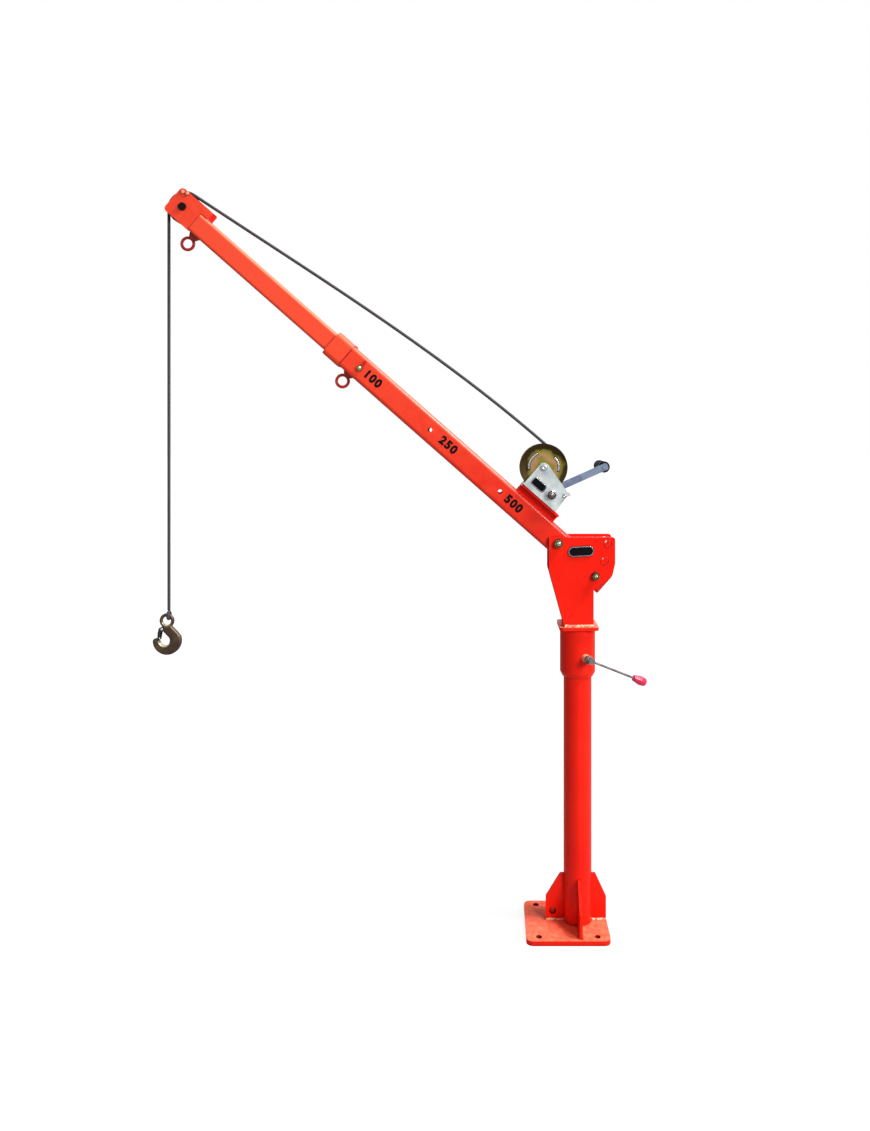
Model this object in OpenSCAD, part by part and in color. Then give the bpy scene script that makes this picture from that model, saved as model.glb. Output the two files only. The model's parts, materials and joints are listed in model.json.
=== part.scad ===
// Swing jib crane with a telescopic boom and a hand winch.
// The slewing axis is +Z, through the middle of the post; the boom points to -X.
// Z = 0 is the underside of the base plate. Everything is in millimetres.

/* [Base] */
// Length of the base plate, along the boom
base_size = 176; // [160:1:220]
// Width of the base plate, across the boom
base_width = 156; // [150:1:220]
// Thickness of the base plate
base_t = 10; // [6:0.5:16]
// Corner radius of the base plate
base_corner_r = 14; // [4:1:24]
// Distance from the post's axis to the plate's centre, towards the hook
base_offset = 26; // [0:1:30]
// Distance from the post's axis to the plate's centre, towards the front
base_offset_front = 6; // [0:1:20]
// Bolt holes of the base plate, centre to centre
base_hole_pitch = 123; // [100:1:127]
// Diameter of a bolt hole in the base plate
base_hole_d = 13; // [9:0.5:18]
// Outer diameter of the post
post_d = 60.3; // [50:0.1:70]
// Wall of the post
post_wall = 5; // [3:0.5:8]
// Length of the post above the base plate
post_len = 633.7; // [500:0.1:900]

/* [Gussets] */
// Thickness of a gusset
gusset_t = 6; // [5:0.5:12]
// Height of a gusset above the base plate
gusset_h = 100; // [70:1:140]
// Height of a gusset's upright outer edge
gusset_shoulder_h = 50; // [20:1:65]
// Flat on top of a gusset, next to the post
gusset_top_w = 8; // [4:1:14]
// Reach of the left gusset from the post's wall
gusset_reach_left = 39; // [30:1:45]
// Gap between the front gusset and the edge of the base plate
gusset_front_gap = 6; // [2:1:10]
// Gap between the back gusset and the edge of the base plate
gusset_back_gap = 2; // [1:1:6]
// Gap between the right gusset and the edge of the base plate
gusset_edge_gap = 0.5; // [0:0.5:8]
// Diameter of the round hole in the left gusset
gusset_hole_d = 15; // [8:0.5:19]
// Distance of that hole from the post's wall
gusset_hole_out = 24; // [16:0.5:26]
// Height of that hole above the base plate
gusset_hole_up = 19; // [14:0.5:40]

/* [Swivel head] */
// Radial gap between the post and the sleeve that turns on it
slew_clear = 0.3; // [0.2:0.05:0.6]
// Gap between the top of the post and the plate that rides on it
slew_gap = 0.3; // [0.2:0.05:0.6]
// Wall of the sleeve
sleeve_wall = 7.5; // [5:0.5:10]
// Height of the sleeve
sleeve_h = 104; // [80:1:140]
// Height of the bevel at the sleeve's lower rim
sleeve_bevel_h = 9; // [3:0.5:12]
// Width of that bevel
sleeve_bevel_w = 4.5; // [1:0.5:5]
// Length of the head's base plate, along the boom
head_base_l = 84; // [78:1:100]
// Width of the head's base plate, across the boom
head_base_w = 88; // [84:1:110]
// Thickness of the head's base plate
head_base_t = 7; // [5:0.5:12]
// Corner radius of the head's base plate
head_base_corner_r = 10; // [3:1:16]
// Thickness of each side plate of the head
head_plate_t = 7; // [5:0.5:10]
// Gap between the boom and each side plate
head_side_gap = 1; // [0.5:0.1:2]
// Height of the side plates
head_plate_h = 191; // [180:1:210]
// Left end of the side plates at the top
head_left_x = -64; // [-80:1:-62]
// Right end of the side plates at the top
head_right_x = 77; // [74:1:90]
// Left side of the neck of the side plates
neck_left_x = -31; // [-38:1:-26]
// Right side of the neck of the side plates
neck_right_x = 31; // [26:1:38]

/* [Clamp] */
// Direction of the clamp screw, turned from the front towards the right
clamp_azimuth = 20; // [0:1:60]
// Height of the clamp screw below the top of the sleeve
clamp_drop = 59; // [40:1:70]
// Outer diameter of the clamp screw's boss
clamp_boss_d = 17; // [14:0.5:22]
// How far the boss stands out of the sleeve
clamp_boss_len = 13; // [8:0.5:18]
// Diameter of the clamp screw
clamp_screw_d = 10; // [8:0.5:12]
// Diameter of the lever
lever_d = 5; // [4:0.5:8]
// Length of the lever from the screw to the knob
lever_len = 110; // [60:1:130]
// Angle of the lever below the horizontal
lever_droop = 24; // [0:1:60]
// Largest diameter of the knob
knob_d = 20; // [14:1:26]
// Length of the knob
knob_len = 32; // [22:1:40]

/* [Boom] */
// Angle of the boom above the horizontal
luff_angle = 41.4; // [0:0.1:60]
// Pivot of the boom, measured along X from the post's axis
pivot_x = -44; // [-46:1:-40]
// Pivot of the boom above the head's base plate
pivot_up = 178; // [172:1:184]
// Diameter of the pivot bolt
pivot_d = 12; // [10:0.5:14]
// Side of the square inner tube
inner_side = 44; // [40:0.5:48]
// Wall of the inner tube
inner_wall = 3.5; // [2.5:0.5:5]
// Corner radius of the inner tube
inner_corner_r = 6; // [5:0.5:10]
// Gap between the inner and the outer tube, each side
slide_clear = 0.3; // [0.2:0.05:0.6]
// Wall of the outer tube
outer_wall = 4; // [3:0.5:5]
// Length of the outer tube behind the pivot
outer_tail = 134; // [128:1:150]
// Length of the outer tube in front of the pivot
outer_front = 649; // [600:1:800]
// Wall of the collar at the mouth of the outer tube
collar_wall = 3; // [2:0.5:5]
// Length of the collar
collar_len = 43; // [25:1:60]
// Distance from the pivot to the lock holes
lock_radius = 105.5; // [98:0.5:110]
// Diameter of the lock bolt
lock_d = 12; // [10:0.5:14]
// Width across flats of the pivot bolt's head
pivot_flats = 16; // [15:0.5:22]
// Width across flats of the lock bolt's head
lock_flats = 14; // [13:0.5:20]
// Diameter of the lock holes
lock_hole_d = 15; // [13:0.5:16]
// Width across flats of the pin's head
pin_flats = 11; // [9:0.5:14]
// Diameter of the pin's holes in the outer tube
pin_hole_d = 9.5; // [9:0.5:14]
// Distance from the pivot to the pin that holds the inner tube
pin_u = 566; // [540:1:580]
// Spacing of the pin's holes in the outer tube
pin_step = 200; // [150:1:210]
// Diameter of the pin that holds the inner tube
pin_d = 8; // [6:0.5:10]
// Length of the inner tube
inner_len = 536; // [460:1:600]
// Length of the inner tube left inside the outer tube
inner_hidden = 144; // [100:1:200]
// Outer diameter of each eye ring under the boom
eye_d = 32.5; // [26:0.5:40]
// Length of an eye's foot along the tube
eye_foot = 24; // [12:1:26]
// Gap between the outer tube and the lower eye ring
eye_stem = 4.5; // [2:0.5:10]
// Gap between the inner tube and the upper eye ring
upper_eye_stem = 7.5; // [2:0.5:12]
// Thickness of an eye ring's bar
eye_bar_d = 6.5; // [5:0.5:8]
// Place of the lower eye along the outer tube, from the pivot
lower_eye_u = 580; // [540:1:588]
// Distance from the upper eye to the end of the inner tube
upper_eye_back = 12; // [11:1:60]

/* [Tip] */
// Length of the cheeks' tongues inside the inner tube
cheek_tongue = 30; // [20:1:60]
// Thickness of each cheek plate at the tip
cheek_t = 5; // [4:0.5:8]
// Length of the cheeks beyond the inner tube
cheek_len = 71; // [60:1:90]
// Corner radius of the cheeks' far end
cheek_corner_r = 9; // [2:1:14]
// How far the cheeks lap over the top of the inner tube
cheek_lap = 15; // [12:1:40]
// Height of the cheeks above the middle of the tube
cheek_up = 40; // [38:1:54]
// Depth of the cheeks below the middle of the tube
cheek_down = 23; // [17:0.5:24]
// Place of the sheave's axle beyond the inner tube
sheave_out = 42.5; // [38:0.5:46]
// Height of the sheave's axle above the middle of the tube
sheave_up = 7.5; // [6:0.5:14]
// Diameter of the sheave's axle
axle_d = 12; // [8:0.5:16]
// Radius of the sheave at the middle of the rope
sheave_r = 35.3; // [30:0.1:36]
// Width of the sheave
sheave_w = 17; // [12:0.5:24]

/* [Rope and hook] */
// Diameter of the wire rope
rope_d = 6; // [4:0.5:6]
// Upward bow of the slack rope over its chord, as a share of its length
rope_bow = 0.0717; // [0:0.0001:0.1]
// Share by which the bow leans towards the drum
rope_bow_lean = 0.52; // [0:0.01:0.6]
// Length of rope from the sheave down to the middle of the hook's eye
fall_len = 894; // [400:1:1400]
// Outer diameter of the hook's eye
hook_eye_d = 32.5; // [28:0.5:40]
// Thickness of the bar around the hook's eye
hook_eye_bar_d = 7.6; // [6:0.2:9]
// Outer radius of the hook's body
hook_r = 30.8; // [28:0.1:34]
// Radius of the hook's bowl
hook_bowl_r = 11.2; // [8:0.1:12]
// How far the hook's eye rests beside the line of the rope
hook_aside = 4.2; // [0:0.1:4.5]
// Thickness of the hook's body
hook_t = 13; // [8:0.5:18]

/* [Winch] */
// Thickness of the winch seat's top plate
seat_t = 5; // [3:0.5:8]
// Width of the winch seat
seat_w = 62; // [50:1:66]
// Height of the webs under the seat
seat_web_h = 14; // [8:0.5:24]
// Thickness of the webs under the seat
seat_web_t = 4; // [3:0.5:6]
// Lower end of the seat along the boom
seat_from = 37; // [30:1:48]
// Upper end of the seat along the boom
seat_to = 141; // [140:1:170]
// Inner width of the winch's frame
frame_w = 60; // [56:1:80]
// Thickness of the winch frame's side plates
frame_t = 4; // [2:0.5:6]
// Thickness of the winch frame's bottom
frame_bottom_t = 3; // [2:0.5:4]
// Drum axis along the boom, from the pivot
drum_u = 130; // [126:1:140]
// Radius of the drum's flanges
flange_r = 51; // [48:0.5:52]
// Gap between the drum's flanges and the bottom of the frame
drum_gap = 1.5; // [1:0.5:6]
// Thickness of the drum's flanges
flange_t = 2; // [1.5:0.5:4]
// Radius of the drum's barrel
barrel_r = 19; // [14:0.5:22]
// Diameter of the bolt that the drum turns on
drum_axle_d = 12; // [8:0.5:14]
// Number of teeth on the drum's gear
gear_teeth = 48; // [48:1:48]
// Number of teeth on the pinion
pinion_teeth = 12; // [12:1:12]
// Module of the gear teeth
gear_module = 2; // [2:0.05:2.05]
// Width of the gear teeth
gear_w = 7; // [4:0.5:9]
// Direction from the drum to the drive shaft, below the line of the boom
drive_angle = 33.6; // [30:0.1:36]
// Diameter of the drive shaft
drive_d = 14; // [10:0.5:15]
// Radius of the ratchet wheel
ratchet_r = 16; // [14:0.5:16.5]
// Number of teeth on the ratchet wheel
ratchet_teeth = 12; // [8:1:16]
// Thickness of the ratchet wheel and its pawl
ratchet_t = 3.5; // [2:0.5:4]
// Gap between the pawl's nose and the ratchet wheel, thrown out
pawl_gap = 0.8; // [0.5:0.1:2]
// Length of the crank, from the drive shaft to the grip
crank_len = 137; // [100:1:150]
// Direction of the crank from the line of the boom
crank_angle = 114.6; // [100:0.1:140]
// Width of the crank arm
crank_w = 16; // [12:0.5:22]
// Thickness of the crank arm
crank_t = 4; // [3:0.5:6]
// Gap between the winch's frame and the crank arm
crank_gap = 18; // [16:0.5:30]
// Diameter of the grip
grip_d = 26; // [20:0.5:34]
// Length of the grip
grip_len = 98; // [70:1:120]

/* [Hidden] */
$fn = 64;

// A face that cuts another solid reaches this far past it.
cut = 1;
// Parts that touch without being fixed to each other lie this far apart.
seat_gap = 0.3;
// Radial play of a shaft that turns in a bore.
run_fit = 0.06;
// Height of a hexagon's nut or head, and its width across flats, as shares of the bolt.
nut_share = 0.8;
hex_share = 1.6;
washer_t = 2;

post_r = post_d / 2;
post_top = base_t + post_len;
base_right = base_size / 2 - base_offset;
base_front = base_width / 2 + base_offset_front;
base_back = base_width / 2 - base_offset_front;
sleeve_top = post_top + slew_gap;
sleeve_r = post_r + slew_clear + sleeve_wall;
head_top = sleeve_top + head_base_t;
clamp_z = sleeve_top - clamp_drop;
pivot_z = head_top + pivot_up;

outer_side = inner_side + 2 * slide_clear + 2 * outer_wall;
collar_side = outer_side + 2 * collar_wall;
outer_half = outer_side / 2;
inner_half = inner_side / 2;
tube_corner_r = 8;
head_in = outer_half + head_side_gap;
head_out = head_in + head_plate_t;

inner_from = outer_front - inner_hidden;
inner_to = inner_from + inner_len;
sheave_u = inner_to + sheave_out;
cheek_in = inner_half - inner_wall - cheek_t;
cheek_out = cheek_in + cheek_t;
tongue_half = inner_half - inner_corner_r;
sheave_rim_r = sheave_r - 1.5;
rope_r = rope_d / 2;

seat_top = outer_half + seat_web_h + seat_t;
frame_half = frame_w / 2;
frame_out = frame_half + frame_t;
drum_v = seat_top + frame_bottom_t + drum_gap + flange_r;
gear_pitch_r = gear_module * gear_teeth / 2;
pinion_pitch_r = gear_module * pinion_teeth / 2;
shaft_distance = gear_pitch_r + pinion_pitch_r;
drive_u = drum_u - shaft_distance * cos(drive_angle);
drive_v = drum_v - shaft_distance * sin(drive_angle);
// The drum's flanges, from the front (+) to the back (-) of the winch.
flange_front = frame_half - 4;
flange_back = -frame_half + 14;
gear_back = flange_back - gear_w - 1;
ratchet_front = -frame_half + 0.5 + ratchet_t;
pawl_u = drive_u - 23.3;
pawl_v = drive_v + 16.6;
crank_in = frame_out + crank_gap;
coil_r = barrel_r + 3.5 * rope_d;

// Angles of the lock holes below the level, on the right of the pivot.
lock_angles = [0, luff_angle / 2, luff_angle];

function unit(v) = v / norm(v);

// Points of a corner at b, between a and c, rounded to the radius r.
function corner_arc(a, b, c, r, n = 6) =
    let (
        u = unit(a - b), w = unit(c - b),
        half = acos(u * w) / 2,
        centre = b + unit(u + w) * r / sin(half),
        p0 = b + u * r / tan(half) - centre,
        p1 = b + w * r / tan(half) - centre,
        a0 = atan2(p0.y, p0.x),
        turn = (atan2(p1.y, p1.x) - a0 + 540) % 360 - 180
    )
    r == 0 ? [b] : [for (i = [0:n]) centre + r * [cos(a0 + turn * i / n), sin(a0 + turn * i / n)]];

// An outline from corners that are each [x, y, radius].
function rounded(corners) = [
    for (i = [0:len(corners) - 1])
        let (
            p = corners[i],
            a = corners[(i + len(corners) - 1) % len(corners)],
            c = corners[(i + 1) % len(corners)]
        )
        each corner_arc([a.x, a.y], [p.x, p.y], [c.x, c.y], p.z)
];

function polar(r, angle) = r * [cos(angle), sin(angle)];

// The involute of an angle, in degrees.
function involute(angle) = tan(angle) * 180 / PI - angle;

// Half the angle that a gear tooth spans at the radius r.
function tooth_half(teeth, pitch_r, base_r, r) =
    90 / teeth - tooth_play / (4 * pitch_r) * 180 / PI
    + involute(pressure_angle) - involute(acos(base_r / r));

pressure_angle = 25;
tooth_play = 0.2;

function gear_outline(teeth) =
    let (
        pitch_r = gear_module * teeth / 2,
        base_r = pitch_r * cos(pressure_angle),
        tip_r = pitch_r + gear_module,
        root_r = pitch_r - 1.25 * gear_module,
        flank_r = max(base_r, root_r),
        radii = [for (k = [0:2]) flank_r + (tip_r - flank_r) * k / 2]
    )
    [for (i = [0:teeth - 1])
        let (middle = i * 360 / teeth)
        each concat(
            [polar(root_r - 0.01, middle - tooth_half(teeth, pitch_r, base_r, flank_r))],
            [for (k = [0:2]) polar(radii[k], middle - tooth_half(teeth, pitch_r, base_r, radii[k]))],
            [for (k = [2:-1:0]) polar(radii[k], middle + tooth_half(teeth, pitch_r, base_r, radii[k]))],
            [polar(root_r - 0.01, middle + tooth_half(teeth, pitch_r, base_r, flank_r))]
        )];

// Raises an outline in the XZ plane into a plate from y0 to y1.
module upright(y0, y1) {
    translate([0, y1, 0])
        rotate([90, 0, 0])
            linear_extrude(y1 - y0)
                children();
}

// Turns a profile, drawn as [radius, along Y], about the line along Y through [x, z].
module turned(x, z) {
    translate([x, 0, z])
        rotate([-90, 0, 0])
            rotate_extrude()
                children();
}

// A round bar along Y.
module bar_y(x, z, y0, y1, d) {
    translate([x, y0, z])
        rotate([-90, 0, 0])
            cylinder(d = d, h = y1 - y0);
}

// A hexagon along Y, with its width across flats.
module hex_y(x, z, y0, y1, flats) {
    translate([x, y0, z])
        rotate([-90, 0, 0])
            cylinder(d = flats / cos(30), h = y1 - y0, $fn = 6);
}

// Places children in the boom's own frame: x along the boom, y to the front, z square to it.
module on_boom() {
    translate([pivot_x, 0, pivot_z])
        rotate([0, luff_angle, 0])
            rotate([0, 0, 180])
                children();
}

// Places children on the clamp screw: z outwards, y upwards.
module on_clamp() {
    translate([0, 0, clamp_z])
        rotate([0, 0, clamp_azimuth])
            rotate([90, 0, 0])
                children();
}

module rounded_square(side, r) {
    polygon(rounded([
        [-side / 2, -side / 2, r], [side / 2, -side / 2, r],
        [side / 2, side / 2, r], [-side / 2, side / 2, r]
    ]));
}

// A square tube along X.
module square_tube(from, to, side, wall, r) {
    translate([from, 0, 0])
        rotate([90, 0, 90])
            linear_extrude(to - from)
                difference() {
                    rounded_square(side, r);
                    rounded_square(side - 2 * wall, r - wall);
                }
}

// ---- Base ----

module base_plate() {
    color("orangered")
        difference() {
            translate([-base_offset, -base_offset_front, 0])
                linear_extrude(base_t)
                    polygon(rounded([
                        [-base_size / 2, -base_width / 2, base_corner_r],
                        [base_size / 2, -base_width / 2, base_corner_r],
                        [base_size / 2, base_width / 2, base_corner_r],
                        [-base_size / 2, base_width / 2, base_corner_r]
                    ]));
            for (x = [-1, 1], y = [-1, 1])
                translate([x * base_hole_pitch / 2 - base_offset,
                    y * base_hole_pitch / 2 - base_offset_front, -cut])
                    cylinder(d = base_hole_d, h = base_t + 2 * cut);
        }
}

module post() {
    color("orangered")
        translate([0, 0, base_t])
            difference() {
                cylinder(d = post_d, h = post_len);
                translate([0, 0, -cut])
                    cylinder(d = post_d - 2 * post_wall, h = post_len + 2 * cut);
            }
}

// A gusset that reaches out from the post along -X.
module gusset(reach, hole_d = 0) {
    color("orangered")
        difference() {
            upright(-gusset_t / 2, gusset_t / 2)
                polygon(rounded([
                    [-post_r, base_t, 0],
                    [-post_r - reach, base_t, 0],
                    [-post_r - reach, base_t + gusset_shoulder_h, 4],
                    [-post_r - gusset_top_w, base_t + gusset_h, 3],
                    [-post_r, base_t + gusset_h, 0]
                ]));
            if (hole_d > 0)
                bar_y(-post_r - gusset_hole_out, base_t + gusset_hole_up,
                    -gusset_t / 2 - cut, gusset_t / 2 + cut, hole_d);
        }
}

module gusset_left() gusset(gusset_reach_left, gusset_hole_d);
module gusset_right() rotate([0, 0, 180]) gusset(base_right - gusset_edge_gap - post_r);
module gusset_front() rotate([0, 0, 90]) gusset(base_front - gusset_front_gap - post_r);
module gusset_back() rotate([0, 0, -90]) gusset(base_back - gusset_back_gap - post_r);

// ---- Swivel head ----

module slew_sleeve() {
    color("orangered")
        difference() {
            translate([0, 0, sleeve_top - sleeve_h]) {
                cylinder(r1 = sleeve_r - sleeve_bevel_w, r2 = sleeve_r, h = sleeve_bevel_h);
                translate([0, 0, sleeve_bevel_h])
                    cylinder(r = sleeve_r, h = sleeve_h - sleeve_bevel_h);
            }
            translate([0, 0, sleeve_top - sleeve_h - cut])
                cylinder(r = post_r + slew_clear, h = sleeve_h + 2 * cut);
            on_clamp()
                cylinder(d = clamp_screw_d + 2 * run_fit, h = sleeve_r + cut);
        }
}

module head_base_plate() {
    color("orangered")
        translate([0, 0, sleeve_top])
            linear_extrude(head_base_t)
                polygon(rounded([
                    [-head_base_l / 2, -head_base_w / 2, head_base_corner_r],
                    [head_base_l / 2, -head_base_w / 2, head_base_corner_r],
                    [head_base_l / 2, head_base_w / 2, head_base_corner_r],
                    [-head_base_l / 2, head_base_w / 2, head_base_corner_r]
                ]));
}

// Outline of the head's side plates, with their holes for the pivot and the lock bolt.
module head_plate(y0) {
    top = head_top + head_plate_h;
    color("orangered")
        difference() {
            upright(y0, y0 + head_plate_t)
                polygon(rounded([
                    [neck_left_x, head_top, 0],
                    [neck_right_x, head_top, 0],
                    [neck_right_x, top - 113, 0],
                    [head_right_x - 6, top - 82, 6],
                    [head_right_x, top - 56, 6],
                    [head_right_x, top, 6],
                    [head_left_x, top, 1],
                    [head_left_x, top - 71, 12]
                ]));
            bar_y(pivot_x, pivot_z, y0 - cut, y0 + head_plate_t + cut, pivot_d + 2 * run_fit);
            for (angle = lock_angles)
                bar_y(pivot_x + lock_radius * cos(angle), pivot_z - lock_radius * sin(angle),
                    y0 - cut, y0 + head_plate_t + cut, lock_hole_d);
        }
}

module head_plate_front() head_plate(-head_out);
module head_plate_back() head_plate(head_in);

module clamp_boss() {
    color("orangered")
        difference() {
            on_clamp()
                cylinder(d = clamp_boss_d, h = sleeve_r + clamp_boss_len);
            cylinder(r = sleeve_r, h = sleeve_top);
            on_clamp()
                cylinder(d = clamp_screw_d + 2 * run_fit, h = sleeve_r + clamp_boss_len + cut);
        }
}

// The bolt that the boom turns on, from its head at the front to its nut at the back.
module pivot_bolt() {
    nut_h = pivot_d * nut_share;
    flats = pivot_flats;
    color("darkkhaki") {
        bar_y(pivot_x, pivot_z, -head_out - washer_t, head_out + washer_t, pivot_d);
        hex_y(pivot_x, pivot_z, -head_out - washer_t - nut_h * 0.8, -head_out - washer_t, flats);
        bar_y(pivot_x, pivot_z, -head_out - washer_t, -head_out, flats * 1.2);
        bar_y(pivot_x, pivot_z, head_out, head_out + washer_t, flats * 1.2);
        hex_y(pivot_x, pivot_z, head_out + washer_t, head_out + washer_t + nut_h * 0.8, flats);
    }
}

lock_x = pivot_x + lock_radius * cos(luff_angle);
lock_z = pivot_z - lock_radius * sin(luff_angle);

// The lock bolt's head, with the stretch of its shank in the front plate.
module lock_bolt() {
    flats = lock_flats;
    color("darkkhaki") {
        bar_y(lock_x, lock_z, -head_out, -head_in, lock_d);
        hex_y(lock_x, lock_z, -head_out - lock_d * nut_share, -head_out, flats);
    }
}

// The lock bolt's nut, with the stretch of its shank in the back plate.
module lock_nut() {
    flats = lock_flats;
    color("darkkhaki") {
        bar_y(lock_x, lock_z, head_in, head_out, lock_d);
        hex_y(lock_x, lock_z, head_out, head_out + lock_d * nut_share, flats);
    }
}

clamp_face = sleeve_r + clamp_boss_len;
clamp_hex_h = 8;
clamp_head_h = 11;
lever_z = clamp_face + seat_gap + clamp_hex_h + clamp_head_h / 2;

module clamp_screw() {
    color("silver")
        on_clamp()
            difference() {
                union() {
                    translate([0, 0, post_r + seat_gap])
                        cylinder(d = clamp_screw_d, h = lever_z - post_r - seat_gap);
                    translate([0, 0, clamp_face + seat_gap])
                        cylinder(d = clamp_screw_d * 1.7 / cos(30), h = clamp_hex_h, $fn = 6);
                    translate([0, 0, clamp_face + seat_gap + clamp_hex_h])
                        cylinder(d = clamp_screw_d * 1.4, h = clamp_head_h);
                }
                rotate([0, 0, -lever_droop])
                    translate([-clamp_screw_d, 0, lever_z])
                        rotate([0, 90, 0])
                            cylinder(d = lever_d, h = 2 * clamp_screw_d);
            }
}

module clamp_lever() {
    color("silver")
        on_clamp()
            rotate([0, 0, -lever_droop])
                translate([-clamp_screw_d * 0.7 - 2, 0, lever_z])
                    rotate([0, 90, 0])
                        cylinder(d = lever_d, h = lever_len + clamp_screw_d * 0.7 + 2);
}

module lever_knob() {
    r = knob_d / 2;
    color("crimson")
        on_clamp()
            rotate([0, 0, -lever_droop])
                translate([lever_len, 0, lever_z])
                    rotate([0, 90, 0])
                        rotate_extrude()
                            polygon(rounded([
                                [0, 0, 0],
                                [r * 0.62, 0, 2],
                                [r, knob_len * 0.55, 6],
                                [r * 0.86, knob_len, 5],
                                [0, knob_len, 0]
                            ]));
}

// ---- Boom ----

// A ring under a tube at u, on a foot welded to the tube.
module eye_ring(u, tube_half, stem) {
    ring_r = (eye_d - eye_bar_d) / 2;
    centre_v = -tube_half - stem - eye_d / 2;
    foot = eye_foot / 2;
    neck = eye_bar_d;
    color("firebrick")
        difference() {
            union() {
                turned(u, centre_v)
                    translate([ring_r, 0])
                        circle(d = eye_bar_d);
                upright(-eye_bar_d * 0.6, eye_bar_d * 0.6)
                    polygon(rounded([
                        [u - foot, -tube_half, 0],
                        [u - foot, -tube_half - 2, 0],
                        [u - neck, centre_v + ring_r, 4],
                        [u, centre_v + ring_r - 1, 0],
                        [u + neck, centre_v + ring_r, 4],
                        [u + foot, -tube_half - 2, 0],
                        [u + foot, -tube_half, 0]
                    ]));
            }
            bar_y(u, centre_v, -eye_d, eye_d, eye_d - 2 * eye_bar_d);
        }
}

module outer_tube() {
    color("orangered")
        on_boom()
            difference() {
                square_tube(-outer_tail, outer_front, outer_side, outer_wall, tube_corner_r);
                bar_y(0, 0, -outer_side, outer_side, pivot_d + 2 * run_fit);
                bar_y(-lock_radius, 0, -outer_side, outer_side, lock_hole_d);
                for (i = [0:2])
                    bar_y(pin_u - i * pin_step, 0, -outer_side, outer_side, pin_hole_d);
            }
}

module tube_collar() {
    color("orangered")
        on_boom()
            square_tube(outer_front - collar_len, outer_front, collar_side, collar_wall,
                tube_corner_r + collar_wall);
}

module lower_eye() on_boom() eye_ring(lower_eye_u, outer_half, eye_stem);

module winch_seat() {
    color("orangered")
        on_boom() {
            translate([seat_from, -seat_w / 2, outer_half + seat_web_h])
                cube([seat_to - seat_from, seat_w, seat_t]);
            for (side = [-1, 1])
                translate([seat_from, side * (outer_half - tube_corner_r - seat_web_t / 2)
                    - seat_web_t / 2, outer_half])
                    cube([seat_to - seat_from, seat_web_t, seat_web_h]);
        }
}

// The pin's head, with the stretch of its shank in the tube's front wall.
module extension_pin() {
    flats = pin_flats;
    color("darkkhaki")
        on_boom() {
            bar_y(pin_u, 0, outer_half - outer_wall, outer_half, pin_d);
            hex_y(pin_u, 0, outer_half, outer_half + pin_d * nut_share, flats);
        }
}

// The pin's nut, with the stretch of its shank in the tube's back wall.
module extension_nut() {
    flats = pin_flats;
    color("darkkhaki")
        on_boom() {
            bar_y(pin_u, 0, -outer_half, -outer_half + outer_wall, pin_d);
            hex_y(pin_u, 0, -outer_half - pin_d * nut_share, -outer_half, flats);
        }
}

module inner_tube() {
    color("orangered")
        on_boom()
            difference() {
                square_tube(inner_from, inner_to, inner_side, inner_wall,
                    inner_corner_r);
                bar_y(pin_u, 0, -inner_side, inner_side, pin_hole_d);
            }
}

// A cheek at the tip, from y0 to y0 + cheek_t.
module tip_cheek(y0) {
    end_u = inner_to + cheek_len;
    color("orangered")
        on_boom()
            difference() {
                upright(y0, y0 + cheek_t)
                    polygon(rounded([
                        [inner_to - cheek_tongue, -tongue_half, 0],
                        [inner_to, -tongue_half, 0],
                        [inner_to, -cheek_down, 0],
                        [end_u, -cheek_down, cheek_corner_r],
                        [end_u, cheek_up, cheek_corner_r],
                        [inner_to - cheek_lap, cheek_up, 3],
                        [inner_to - cheek_lap, inner_half, 0],
                        [inner_to, inner_half, 0],
                        [inner_to, tongue_half, 0],
                        [inner_to - cheek_tongue, tongue_half, 0]
                    ]));
                bar_y(sheave_u, sheave_up, y0 - cut, y0 + cheek_t + cut, axle_d);
            }
}

module tip_cheek_front() tip_cheek(cheek_in);
module tip_cheek_back() tip_cheek(-cheek_in - cheek_t);

module tip_tie_plate() {
    plate_t = 6;
    color("orangered")
        on_boom()
            translate([inner_to - cheek_lap, -cheek_in, inner_half])
                cube([plate_t, 2 * cheek_in, cheek_up - inner_half - 3]);
}

module sheave_axle() {
    head_d = axle_d * 1.4;
    color("dimgray")
        on_boom() {
            bar_y(sheave_u, sheave_up, -cheek_out, cheek_out, axle_d);
            bar_y(sheave_u, sheave_up, cheek_out, cheek_out + 3, head_d);
            bar_y(sheave_u, sheave_up, -cheek_out - 3, -cheek_out, head_d);
        }
}

module upper_eye() on_boom() eye_ring(inner_to - upper_eye_back, inner_half, upper_eye_stem);

module sheave() {
    hub_half = cheek_in - seat_gap;
    color("dimgray")
        on_boom()
            turned(sheave_u, sheave_up)
                difference() {
                    union() {
                        translate([axle_d / 2 + run_fit, -hub_half])
                            square([5, 2 * hub_half]);
                        translate([axle_d / 2 + run_fit, -4])
                            square([sheave_r - axle_d / 2 - run_fit - 4, 8]);
                        translate([sheave_r - 7, -sheave_w / 2])
                            square([sheave_rim_r - sheave_r + 7, sheave_w]);
                    }
                    translate([sheave_r, 0])
                        circle(r = rope_r + seat_gap);
                    translate([sheave_r, -rope_r - seat_gap])
                        square([sheave_r, 2 * rope_r + 2 * seat_gap]);
                }
}

// ---- Rope ----

run_drop = 7.85;
run_from = [drum_u, drum_v + coil_r + seat_gap];
run_to = [sheave_u, sheave_up] + polar(sheave_r, 90 - run_drop) - polar(seat_gap + 0.1, -run_drop);

// A point of the rope between drum and sheave, t from 0 to 1, in the boom's frame.
function run_point(t) =
    let (
        chord = run_to - run_from,
        up = unit([-chord.y, chord.x]),
        rise = rope_bow * norm(chord) * t * (1 - t) * (1 + rope_bow_lean * (1 - 2 * t))
    )
    run_from + chord * t + up * rise;

run_steps = 24;
rope_sides = 8;

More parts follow.
